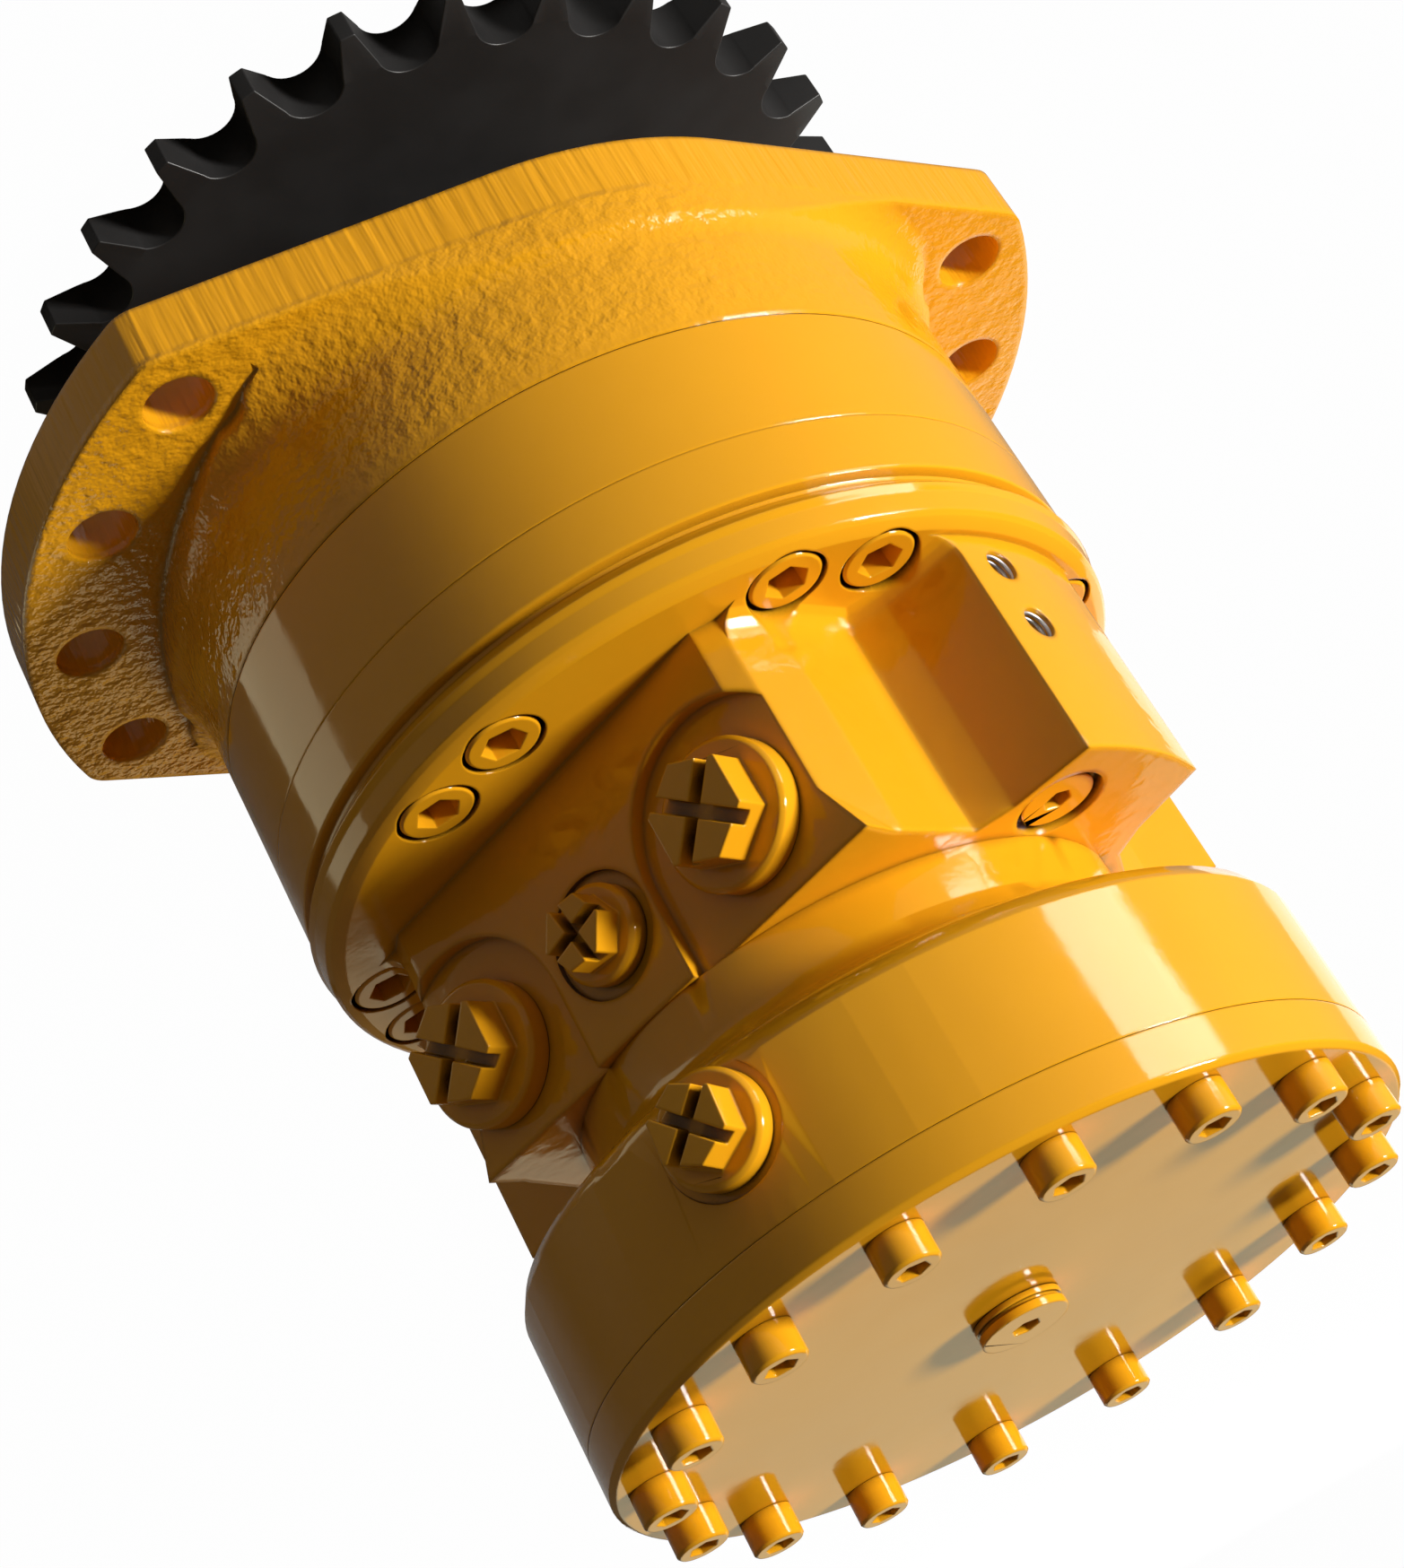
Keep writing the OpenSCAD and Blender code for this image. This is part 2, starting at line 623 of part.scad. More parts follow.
module brake_housing() {
    shoulder_z = neck_z + 33.8;
    skirt_z = neck_z + 26.8;
    skirt_w = brake_r - neck_r;
    color(paint) difference() {
        union() {
            translate([0, 0, neck_z - spigot_h]) cylinder(r = spigot_r, h = spigot_h + cut);
            rotate_extrude() polygon([[0, neck_z], [neck_r, neck_z], [neck_r, neck_z + 12],
                [neck_r + 0.086 * skirt_w, neck_z + 17], [neck_r + 0.275 * skirt_w, neck_z + 20.5],
                [neck_r + 0.553 * skirt_w, skirt_z - 2], [neck_r + 0.787 * skirt_w, skirt_z + 0.6],
                [neck_r + 0.938 * skirt_w, skirt_z + 3.4], [brake_r, shoulder_z],
                [brake_r, cover_z], [0, cover_z]]);
        }
        translate([0, 0, neck_z - spigot_h - cut]) cylinder(r = brake_shaft_r + 3, h = brake_l);
        translate([0, 0, pack_floor_z]) cylinder(r = housing_bore_r + run, h = brake_l);
        translate([0, 0, chamber_z]) cylinder(r = chamber_r + run, h = brake_l);
        for (i = [0:plate_tabs_n - 1]) rotate([0, 0, i * 360 / plate_tabs_n])
            translate([0, -plate_tab_w / 2 - 0.2, pack_floor_z])
                cube([plate_tab_r + 0.5, plate_tab_w + 0.4, pack_end_z - pack_floor_z]);
        at_housing_screws(neck_z - spigot_h - cut) cylinder(d = housing_screw_d + 1, h = 30);
        at_housing_screws(neck_z + housing_screw_l / 2) cylinder(r = housing_screw_d * 0.75 + 0.6, h = 20);
        at_cover_screws(cover_z - cover_screw_thread_l - 1)
            cylinder(d = cover_screw_d + 2 * fit, h = cover_screw_thread_l + 2);
        rotate([0, 0, brake_port_angle]) translate([0, 0, brake_port_z]) rotate([0, 90, 0]) {
            translate([0, 0, chamber_r - cut]) cylinder(r = 4, h = 20);
            translate([0, 0, brake_port_seat_r - 10]) cylinder(d = small_port_d, h = 20);
            translate([0, 0, brake_port_seat_r]) cylinder(r = 14.5, h = 20);
        }
    }
}

module brake_housing_screws() {
    color(bright_steel) at_housing_screws(neck_z + housing_screw_l / 2)
        cap_screw(housing_screw_d, housing_screw_l, housing_screw_d * 0.75, housing_screw_d - 0.5);
}

module brake_cover() {
    edge = 1.2;
    color(paint) difference() {
        union() {
            translate([0, 0, cover_z]) cylinder(r = brake_r, h = cover_t - edge);
            translate([0, 0, cover_top_z - edge]) cylinder(r1 = brake_r, r2 = brake_r - edge, h = edge);
            translate([0, 0, cover_z - cover_spigot_h]) cylinder(r = chamber_r - 0.1, h = cover_spigot_h + cut);
        }
        at_cover_screws(cover_z - cut) cylinder(d = cover_screw_d + 1, h = cover_t + 2 * cut);
        translate([0, 0, cover_z - cover_spigot_h - cut])
            cylinder(d = cover_plug_thread_d, h = cover_t + cover_spigot_h + 2 * cut);
    }
}

module cover_screws() {
    color(paint) at_cover_screws(cover_top_z)
        cap_screw(cover_screw_d, cover_t + cover_screw_thread_l, cover_screw_head_r, cover_screw_head_h);
}

module cover_plug() {
    groove_z = 1.6;
    color(paint) translate([0, 0, cover_top_z]) difference() {
        union() {
            translate([0, 0, -cover_plug_thread_l]) cylinder(d = cover_plug_thread_d - 2 * fit,
                h = cover_plug_thread_l + 0.1);
            cylinder(r = cover_plug_r, h = cover_plug_proud);
        }
        translate([0, 0, groove_z]) ring(cover_plug_r + cut, cover_plug_r - 1, 0.9);
        translate([0, 0, cover_plug_proud - 3]) cylinder(r = hex_r(6), h = 4, $fn = 6);
    }
}

// Tapered bearing parts, drawn with the cone's back face at z = 0 and the cup's back at z = bearing_w.
apex_z = bearing_w - cup_w + cup_mouth_r / tan(race_angle);
axis_angle = race_angle - roller_half_angle;
inner_angle = axis_angle - roller_half_angle;
bearing_roller_z = 4.6;
bearing_roller_l = bearing_w - 9;
function race_r(z, angle) = (apex_z - z) * tan(angle);

module bearing_cup() {
    z0 = bearing_w - cup_w;
    rotate_extrude() polygon([[race_r(z0, race_angle), z0], [bearing_r, z0], [bearing_r, bearing_w],
        [race_r(bearing_w, race_angle), bearing_w]]);
}

module bearing_cone() {
    rib_z = bearing_roller_z - 0.4;
    rotate_extrude() polygon([[shaft_r + fit, 0], [race_r(rib_z, axis_angle) - 1, 0],
        [race_r(rib_z, axis_angle), rib_z - 1], [race_r(rib_z, inner_angle) + 0.6, rib_z - 0.8],
        [race_r(rib_z, inner_angle), rib_z - 0.6], [race_r(bearing_w, inner_angle), bearing_w],
        [shaft_r + fit, bearing_w]]);
}

module bearing_rollers() {
    slant = (apex_z - bearing_roller_z) / cos(axis_angle);
    cage_z0 = bearing_roller_z - 0.2;
    cage_z1 = bearing_roller_z + bearing_roller_l + 1;
    for (i = [0:rollers_n - 1]) rotate([0, 0, i * 360 / rollers_n])
        translate([race_r(bearing_roller_z, axis_angle), 0, bearing_roller_z]) rotate([0, -axis_angle, 0])
            cylinder(r1 = slant * tan(roller_half_angle) - run,
                r2 = (slant - bearing_roller_l) * tan(roller_half_angle) - run, h = bearing_roller_l);
    rotate_extrude() polygon([[race_r(cage_z0, axis_angle) + 0.4, cage_z0],
        [race_r(cage_z0, axis_angle) + 1.8, cage_z0], [race_r(cage_z1, axis_angle) + 1.8, cage_z1],
        [race_r(cage_z1, axis_angle) + 0.4, cage_z1]]);
}

module at_front_bearing() {
    translate([0, 0, front_cone_z]) children();
}

module at_rear_bearing() {
    translate([0, 0, rear_cone_z]) mirror([0, 0, 1]) children();
}

module shaft_seal() {
    lip_r = seal_r + run;
    color(seal_black) translate([0, 0, seal_z]) rotate_extrude()
        polygon([[lip_r, 3], [lip_r + 1.2, 0.5], [bearing_r - 2, 0.5], [bearing_r, 0], [bearing_r, seal_w],
            [bearing_r - 1.5, seal_w], [bearing_r - 1.5, 2], [lip_r + 2.5, 2], [lip_r + 1.5, 5], [lip_r + 0.6, 5.5]]);
}

module bearing_nut() {
    color(dark_steel) translate([0, 0, rear_cone_z + fit]) difference() {
        ring(nut_r, shaft_r - 0.5 + fit, nut_h);
        for (i = [0:nut_slots_n - 1]) rotate([0, 0, i * 360 / nut_slots_n])
            translate([nut_r - 3, -4, -cut]) cube([10, 8, nut_h + 2 * cut]);
    }
}

module output_shaft() {
    color(bright_steel) difference() {
        union() {
            translate([0, 0, shaft_end_z]) linear_extrude(hub_face_z - shaft_end_z)
                polygon(spline_points(spline_n, spline_r, spline_depth));
            translate([0, 0, hub_face_z]) cylinder(r = seal_r, h = front_cone_z - hub_face_z);
            cylinder(r = shaft_r, h = rear_cone_z);
            cylinder(r = shaft_r - 0.5, h = rear_cone_z + nut_h + 0.3);
            linear_extrude(shaft_tail_z) polygon(spline_points(spline_n, spline_r, spline_depth));
        }
        translate([0, 0, shaft_end_z - cut]) cylinder(d = sprocket_screw_d + 2 * fit, h = 30);
        translate([0, 0, shaft_tail_z - tail_bore_l]) linear_extrude(tail_bore_l + cut)
            polygon(spline_points(tail_spline_n, tail_spline_r, tail_spline_depth, run));
    }
}

// One gap between two teeth, with its seat for the chain's roller at the origin. The straight
// flanks start inside the seat and cross it, because a tangent start leaves slivers.
module tooth_gap() {
    seat_r = chain_roller_d / 2 + 0.1;
    start_r = seat_r - 0.1;
    start_x = -start_r * sin(tooth_flank_angle);
    start_y = start_r * cos(tooth_flank_angle);
    end_x = 12;
    end_y = start_y + (end_x - start_x) * tan(tooth_flank_angle);
    circle(r = seat_r);
    polygon([[start_x, start_y], [end_x, end_y], [end_x, -end_y], [start_x, -start_y]]);
}

module drive_sprocket() {
    mid_z = sprocket_far_z + sprocket_t / 2;
    recess_r = washer_r + 1.5;
    color(dark_steel) difference() {
        union() {
            intersection() {
                translate([0, 0, sprocket_far_z]) linear_extrude(sprocket_t) difference() {
                    circle(r = tip_r);
                    for (i = [0:sprocket_n - 1]) rotate(sprocket_phase + (i + 0.5) * 360 / sprocket_n)
                        translate([pitch_r, 0]) tooth_gap();
                }
                rotate_extrude() polygon([[0, mid_z - sprocket_t / 2], [tooth_bevel_r, mid_z - sprocket_t / 2],
                    [tip_r, mid_z - tooth_tip_t / 2], [tip_r, mid_z + tooth_tip_t / 2],
                    [tooth_bevel_r, mid_z + sprocket_t / 2], [0, mid_z + sprocket_t / 2]]);
            }
            translate([0, 0, sprocket_far_z]) cylinder(r = sprocket_hub_r, h = sprocket_l - 1.5);
            translate([0, 0, hub_face_z - 1.5]) cylinder(r1 = sprocket_hub_r, r2 = sprocket_hub_r - 1.5, h = 1.5);
        }
        translate([0, 0, sprocket_far_z]) linear_extrude(sprocket_l + cut)
            polygon(spline_points(spline_n, spline_r, spline_depth, run));
        translate([0, 0, sprocket_far_z - cut]) cylinder(r = recess_r, h = washer_seat_z - sprocket_far_z + cut);
    }
}

module sprocket_washer() {
    color(dark_steel) translate([0, 0, washer_seat_z - washer_t])
        ring(washer_r, sprocket_screw_d / 2 + 0.5, washer_t);
}

module sprocket_screw() {
    color(dark_steel) translate([0, 0, washer_seat_z - washer_t]) mirror([0, 0, 1])
        cap_screw(sprocket_screw_d, 28, sprocket_screw_d * 0.75, sprocket_screw_d - 0.6);
}

module cylinder_block() {
    color(bright_steel) difference() {
        translate([0, 0, block_z]) cylinder(r = block_rotor_r, h = block_end_z - block_z);
        linear_extrude(rear_z) polygon(spline_points(spline_n, spline_r, spline_depth, run));
        for (i = [0:pistons_n - 1]) rotate([0, 0, i * 360 / pistons_n]) {
            translate([bore_floor_r, 0, bore_z]) rotate([0, 90, 0]) cylinder(r = piston_bore_r, h = cam_crest_r);
            translate([passage_r, 0, bore_z + 5]) cylinder(r = passage_hole_r, h = cam_ring_w);
        }
    }
}

module piston(i) {
    piston_r = piston_bore_r - run;
    ring_w = 2.4;
    color(bright_steel) rotate([0, 0, (i - 1) * 360 / pistons_n]) translate([0, 0, bore_z]) {
        difference() {
            translate([piston_foot_r, 0, 0]) rotate([0, 90, 0])
                cylinder(r = piston_r, h = piston_top_r - piston_foot_r);
            translate([piston_foot_r - cut, 0, 0]) rotate([0, 90, 0]) cylinder(r = 7.5, h = 6 + cut);
            translate([roller_rest_r, 0, -roller_l / 2 - 0.1]) cylinder(r = roller_r + run, h = roller_l + 0.2);
            translate([piston_ring_r, 0, 0]) rotate([0, 90, 0]) ring(piston_r + cut, piston_r - 2, ring_w);
        }
        translate([piston_ring_r + 0.05, 0, 0]) rotate([0, 90, 0])
            ring(piston_r + 0.02, piston_r - 1.9, ring_w - 0.1);
    }
}

module cam_roller(i) {
    color(bright_steel) rotate([0, 0, (i - 1) * 360 / pistons_n])
        translate([roller_rest_r, 0, bore_z - roller_l / 2]) cylinder(r = roller_r, h = roller_l);
}

module distributor() {
    step_z = [dist_front_z, dist_step_z[0], dist_step_z[1], dist_step_z[2]];
    color(bright_steel) difference() {
        union() for (i = [0:2]) translate([0, 0, step_z[0]]) cylinder(r = dist_r[i], h = step_z[i + 1] - step_z[0] - 0.1);
        translate([0, 0, rear_z - 2 * cut]) cylinder(r = dist_bore_r, h = neck_z);
        for (i = [0:2 * lobes_n - 1]) {
            gallery_z = i % 2 == 0 ? gallery_a_z : gallery_b_z;
            rotate([0, 0, cam_phase + i * 180 / lobes_n]) {
                translate([passage_r, 0, dist_front_z - cut])
                    cylinder(r = passage_hole_r, h = gallery_z - dist_front_z + cut);
                translate([passage_r, 0, gallery_z]) rotate([0, 90, 0]) cylinder(r = passage_hole_r - 0.5, h = 30);
            }
        }
        for (i = [0:2]) translate([0, 0, dist_ring_z[i] - 1.6]) ring(dist_r[i] + cut, dist_r[i] - 2.95, 3.2);
    }
}

module distributor_rings() {
    color(seal_black) for (i = [0:2]) translate([0, 0, dist_ring_z[i]]) rotate_extrude()
        translate([dist_r[i] - 1.45, 0]) circle(r = ring_section_r);
}

module distributor_spring() {
    color(bright_steel) translate([0, 0, dist_step_z[2]])
        ring(dist_r[2] - 0.5, drain_chamber_r + 1, dist_spring_t);
}

module brake_shaft() {
    hub_z = pack_floor_z + 0.4;
    color(bright_steel) {
        translate([0, 0, shaft_tail_z - tail_bore_l + 1]) linear_extrude(tail_bore_l + 3)
            polygon(spline_points(tail_spline_n, tail_spline_r, tail_spline_depth));
        translate([0, 0, shaft_tail_z + 1]) cylinder(r = brake_shaft_r, h = hub_z - shaft_tail_z);
        translate([0, 0, hub_z]) linear_extrude(pack_end_z - hub_z)
            polygon(spline_points(hub_spline_n, hub_r, hub_spline_depth));
    }
}

module brake_discs() {
    color(bronze) for (i = [0:brake_discs_n - 1])
        translate([0, 0, pack_z + plate_t + pack_gap + i * pack_step]) linear_extrude(disc_t) difference() {
            circle(r = disc_r);
            polygon(spline_points(hub_spline_n, hub_r, hub_spline_depth, 0.1));
        }
}

module brake_plates() {
    color(dark_steel) for (i = [0:brake_discs_n]) translate([0, 0, pack_z + i * pack_step])
        linear_extrude(plate_t) difference() {
            union() {
                circle(r = housing_bore_r - 0.5);
                for (j = [0:plate_tabs_n - 1]) rotate(j * 360 / plate_tabs_n)
                    translate([0, -plate_tab_w / 2]) square([plate_tab_r, plate_tab_w]);
            }
            circle(r = hub_r + 4);
        }
}

piston_ring_levels = [[housing_bore_r, chamber_z - 3.9], [chamber_r, neck_z + 50.8]];
module brake_piston() {
    color(bright_steel) difference() {
        union() {
            translate([0, 0, piston_nose_z]) cylinder(r = housing_bore_r, h = piston_step_z - piston_nose_z + cut);
            translate([0, 0, piston_step_z]) cylinder(r = chamber_r, h = piston_crown_z - piston_step_z);
        }
        translate([0, 0, piston_nose_z - cut]) cylinder(r = piston_hollow_r, h = piston_web_z - piston_nose_z + cut);
        translate([0, 0, piston_web_z + piston_web_t]) cylinder(r = piston_recess_r, h = 20);
        translate([0, 0, piston_nose_z]) cylinder(r = 5, h = 40);
        for (p = piston_ring_levels) translate([0, 0, p[1] - 1.6]) ring(p[0] + cut, p[0] - 2.95, 3.2);
    }
}

module brake_piston_rings() {
    color(seal_black) for (p = piston_ring_levels) translate([0, 0, p[1]]) rotate_extrude()
        translate([p[0] - 1.45, 0]) circle(r = ring_section_r);
}

module brake_spring() {
    low_z = piston_web_z + piston_web_t + 0.1;
    high_z = cover_z - cover_spigot_h - 0.1;
    color(dark_steel) rotate_extrude() polygon([[spring_inner_r, low_z], [spring_inner_r, low_z + spring_t],
        [spring_outer_r, high_z], [spring_outer_r, high_z - spring_t]]);
}

front_case();
cam_ring();
rear_case();
case_bolts();
brake_housing();
brake_housing_screws();
brake_cover();
cover_screws();
cover_plug();
port_plug(port_a_y);  // port_plug_a
port_plug(port_b_y);  // port_plug_b
drain_plug();
brake_port_plug();
end_plug();
color(bright_steel) at_front_bearing() bearing_cup();  // front_bearing_cup
color(bright_steel) at_rear_bearing() bearing_cup();  // rear_bearing_cup
shaft_seal();
distributor();
distributor_spring();
distributor_rings();
brake_plates();
brake_spring();
brake_piston();
brake_piston_rings();
output_shaft();
drive_sprocket();
sprocket_washer();
sprocket_screw();
color(bright_steel) at_front_bearing() bearing_cone();  // front_bearing_cone
color(bright_steel) at_rear_bearing() bearing_cone();  // rear_bearing_cone
bearing_nut();
cylinder_block();
brake_shaft();
brake_discs();
color(bright_steel) at_front_bearing() bearing_rollers();  // front_bearing_rollers
color(bright_steel) at_rear_bearing() bearing_rollers();  // rear_bearing_rollers
for (i = [1:pistons_n]) piston(i);
for (i = [1:pistons_n]) cam_roller(i);
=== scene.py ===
"""Radial piston hydraulic motor, painted yellow, standing on its drive sprocket."""

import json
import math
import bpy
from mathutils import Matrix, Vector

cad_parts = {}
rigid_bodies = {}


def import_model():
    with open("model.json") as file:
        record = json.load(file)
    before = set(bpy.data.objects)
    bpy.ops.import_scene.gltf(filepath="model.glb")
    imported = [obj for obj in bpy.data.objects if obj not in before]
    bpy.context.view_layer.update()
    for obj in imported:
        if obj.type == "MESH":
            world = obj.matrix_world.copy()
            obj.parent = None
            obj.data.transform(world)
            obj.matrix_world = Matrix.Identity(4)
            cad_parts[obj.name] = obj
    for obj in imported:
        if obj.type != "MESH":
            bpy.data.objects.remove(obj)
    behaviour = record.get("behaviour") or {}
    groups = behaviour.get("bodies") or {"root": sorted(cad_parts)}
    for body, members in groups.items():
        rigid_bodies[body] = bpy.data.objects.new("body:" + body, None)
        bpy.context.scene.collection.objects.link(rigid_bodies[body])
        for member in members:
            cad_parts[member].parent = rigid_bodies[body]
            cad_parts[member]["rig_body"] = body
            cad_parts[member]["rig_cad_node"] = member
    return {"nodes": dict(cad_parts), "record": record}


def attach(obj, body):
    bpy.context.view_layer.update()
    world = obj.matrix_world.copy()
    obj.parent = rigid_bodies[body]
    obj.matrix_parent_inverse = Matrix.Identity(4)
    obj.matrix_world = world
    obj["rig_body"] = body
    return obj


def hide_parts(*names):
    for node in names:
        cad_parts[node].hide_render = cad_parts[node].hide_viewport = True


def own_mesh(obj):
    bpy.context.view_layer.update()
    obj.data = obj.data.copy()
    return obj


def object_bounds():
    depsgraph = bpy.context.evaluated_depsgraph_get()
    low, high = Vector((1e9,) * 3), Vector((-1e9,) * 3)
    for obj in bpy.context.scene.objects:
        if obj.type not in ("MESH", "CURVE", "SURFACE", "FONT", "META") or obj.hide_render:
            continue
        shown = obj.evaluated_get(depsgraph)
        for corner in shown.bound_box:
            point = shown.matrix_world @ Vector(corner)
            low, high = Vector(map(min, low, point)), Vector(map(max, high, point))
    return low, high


bl_info = {
    "name": "Radial Piston Hydraulic Motor",
    "version": (1, 0, 0),
    "blender": (4, 5, 0),
    "location": "View3D > Sidebar > Motor",
    "description": "Dresses a radial piston hydraulic motor with paint, rounded edges and fasteners",
    "category": "Add Mesh",
}

import bpy
from bpy.props import FloatProperty, FloatVectorProperty, IntProperty, PointerProperty
from mathutils import Matrix, Vector

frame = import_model()
CAD_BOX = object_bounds()
NODES = frame["nodes"]
MM = 0.001

# The photograph's width in pixels. The camera's focal length and shift are measured in them.
PHOTO_WIDTH = 1565
# In the copy of a node, points nearer than this become one point, and faces that turn by less than this
# many degrees become one face.
WELD = 0.002 * MM
FLAT_ANGLE = 0.3
# Degrees that two faces turn by before their edge is rounded: on most pieces, on plugs and screws, on the
# sprocket, and on the rear case with its shallow facets.
EDGE_ANGLE = 32
SMALL_EDGE_ANGLE = 25
SPROCKET_EDGE_ANGLE = 28
FACET_EDGE_ANGLE = 14
# Degrees up to which the pieces inside the case and the threads are shaded smooth.
INNER_SMOOTH_ANGLE = 30
THREAD_SMOOTH_ANGLE = 60
# How far the shading leans to the larger faces, of 100 at most.
NORMAL_WEIGHT = 100
UP = (0.0, 0.0, 1.0)
WHITE = (1.0, 1.0, 1.0)


class PaintSettings(bpy.types.PropertyGroup):
    """Colours and finishes."""

    yellow: FloatVectorProperty(
        name="Yellow", description="Colour of the enamel", subtype="COLOR", default=(0.80, 0.365, 0.010)
    )
    deep_yellow: FloatVectorProperty(
        name="Deep yellow", description="Colour of the enamel where it lies thick", subtype="COLOR",
        default=(0.76, 0.335, 0.007),
    )
    gloss_roughness: FloatProperty(
        name="Gloss roughness", description="Roughness of the enamel", default=0.08
    )
    grain_height: FloatProperty(
        name="Cast grain", description="Height of the cast surface under the paint", unit="LENGTH",
        default=0.7 * MM,
    )
    black_steel: FloatVectorProperty(
        name="Black steel", description="Colour of the sprocket", subtype="COLOR",
        default=(0.028, 0.027, 0.027),
    )
    bright_steel: FloatVectorProperty(
        name="Bright steel", description="Colour of ground steel", subtype="COLOR",
        default=(0.56, 0.57, 0.58),
    )
    seal_black: FloatVectorProperty(
        name="Seal black", description="Colour of the seals' rubber", subtype="COLOR",
        default=(0.012, 0.012, 0.012),
    )
    seal_bloom: FloatVectorProperty(
        name="Seal bloom", description="Colour of the rubber where it has bloomed", subtype="COLOR",
        default=(0.03, 0.03, 0.03),
    )
    lining_dark: FloatVectorProperty(
        name="Lining dark", description="Colour of the friction lining's dark specks", subtype="COLOR",
        default=(0.22, 0.13, 0.05),
    )
    lining_light: FloatVectorProperty(
        name="Lining light", description="Colour of the friction lining's light specks", subtype="COLOR",
        default=(0.42, 0.27, 0.10),
    )
    # Painted shade: slots, sockets and gaps are painted this dark brown wherever ambient occlusion finds
    # walls within the crevice reach.
    painted_shade: FloatVectorProperty(
        name="Painted shade", description="Colour deep in slots, sockets and gaps", subtype="COLOR",
        default=(0.030, 0.014, 0.003),
    )
    crevice_reach: FloatProperty(
        name="Crevice reach", description="How near walls stand round a dark slot", unit="LENGTH",
        default=6.0 * MM,
    )
    turned_round: FloatProperty(
        name="Turned rounding", description="Rounding that the paint gives turned edges", unit="LENGTH",
        default=0.7 * MM,
    )
    cast_round: FloatProperty(
        name="Cast rounding", description="Rounding of the castings' corners under the paint",
        unit="LENGTH", default=2.2 * MM,
    )


class SizeSettings(bpy.types.PropertyGroup):
    """Roundings of the edges."""

    cast_edge: FloatProperty(
        name="Cast edge", description="Rounding of cast edges", unit="LENGTH", default=1.1 * MM
    )
    turned_edge: FloatProperty(
        name="Turned edge", description="Rounding of turned edges", unit="LENGTH", default=0.5 * MM
    )
    small_edge: FloatProperty(
        name="Small edge", description="Rounding on plugs and screws", unit="LENGTH", default=0.35 * MM
    )
    spring_edge: FloatProperty(
        name="Spring edge", description="Rounding on the disc spring", unit="LENGTH", default=0.1 * MM
    )
    edge_segments: IntProperty(
        name="Edge segments", description="Faces across a rounded edge", default=3
    )


class StageSettings(bpy.types.PropertyGroup):
    """Camera, lamps and floor."""

    azimuth: FloatProperty(
        name="Azimuth", description="Camera's angle round the shaft, in degrees", default=-60.0
    )
    elevation: FloatProperty(
        name="Elevation", description="Camera's angle above the floor, in degrees", default=27.52
    )
    distance: FloatProperty(
        name="Distance", description="Camera to its target", unit="LENGTH", default=0.7059
    )
    target_height: FloatProperty(
        name="Target height", description="Target's height on the shaft's axis", unit="LENGTH",
        default=0.1125,
    )
    roll: FloatProperty(
        name="Roll", description="Camera's turn about its own view, in degrees", default=150.15
    )
    focal_pixels: FloatProperty(
        name="Focal length", description="In pixels of the photograph", default=3216.0
    )
    shift_pixels_x: FloatProperty(
        name="Shift X", description="Frame's shift to the side, in pixels", default=-13.5
    )
    shift_pixels_y: FloatProperty(
        name="Shift Y", description="Frame's shift upwards, in pixels", default=-1.0
    )
    lamp_distance: FloatProperty(
        name="Lamp distance", description="Key and fill lamps to the object's middle", unit="LENGTH",
        default=2.2,
    )
    lamp_target_height: FloatProperty(
        name="Lamp target height", description="Height that the key and fill lamps face", unit="LENGTH",
        default=0.10,
    )
    key_azimuth: FloatProperty(
        name="Key azimuth", description="Key lamp's angle round the shaft, in degrees", default=-130.0
    )
    key_elevation: FloatProperty(
        name="Key elevation", description="Key lamp's angle above the floor, in degrees", default=21.0
    )
    key_power: FloatProperty(
        name="Key power", description="Power of the key lamp", unit="POWER", default=75.0
    )
    fill_azimuth: FloatProperty(
        name="Fill azimuth", description="Fill lamp's angle round the shaft, in degrees", default=118.0
    )
    fill_elevation: FloatProperty(
        name="Fill elevation", description="Fill lamp's angle above the floor, in degrees", default=5.0
    )
    fill_power: FloatProperty(
        name="Fill power", description="Power of the fill lamp", unit="POWER", default=55.0
    )
    room_colour: FloatVectorProperty(
        name="Room colour", description="Colour of the light from all round", subtype="COLOR",
        default=(1.0, 0.88, 0.66),
    )
    room_strength: FloatProperty(
        name="Room strength", description="Strength of the light from all round", default=0.10
    )
    floor_grey: FloatProperty(
        name="Floor grey", description="Shade of the floor in the light that it throws back", default=0.25
    )
    floor_white: FloatProperty(
        name="Floor white", description="Share of plain white in the floor that the camera sees",
        default=0.985,
    )


def deselect_all():
    """Leaves nothing selected."""
    bpy.ops.object.select_all(action="DESELECT")


def activate(piece):
    """Makes a piece the only one selected."""
    deselect_all()
    piece.select_set(True)
    bpy.context.view_layer.objects.active = piece


def apply_modifier(piece, kind, **settings):
    """Adds a modifier with these settings and applies it."""
    activate(piece)
    modifier = piece.modifiers.new(kind.title(), kind)
    for key, value in settings.items():
        setattr(modifier, key, value)
    bpy.ops.object.modifier_apply(modifier=modifier.name)


def smooth(piece, angle=EDGE_ANGLE):
    """Shades a piece smooth up to an angle, with the normals following its large faces."""
    activate(piece)
    bpy.ops.object.shade_smooth_by_angle(angle=math.radians(angle))
    apply_modifier(piece, "WEIGHTED_NORMAL", keep_sharp=True, weight=NORMAL_WEIGHT)


def round_edges(piece, width, angle=EDGE_ANGLE):
    """Rounds the edges that turn by more than an angle, and shades the piece smooth."""
    apply_modifier(
        piece,
        "BEVEL",
        width=width,
        segments=bpy.context.scene.motor_sizes.edge_segments,
        limit_method="ANGLE",
        angle_limit=math.radians(angle),
        use_clamp_overlap=True,
        miter_outer="MITER_ARC",
    )
    smooth(piece)


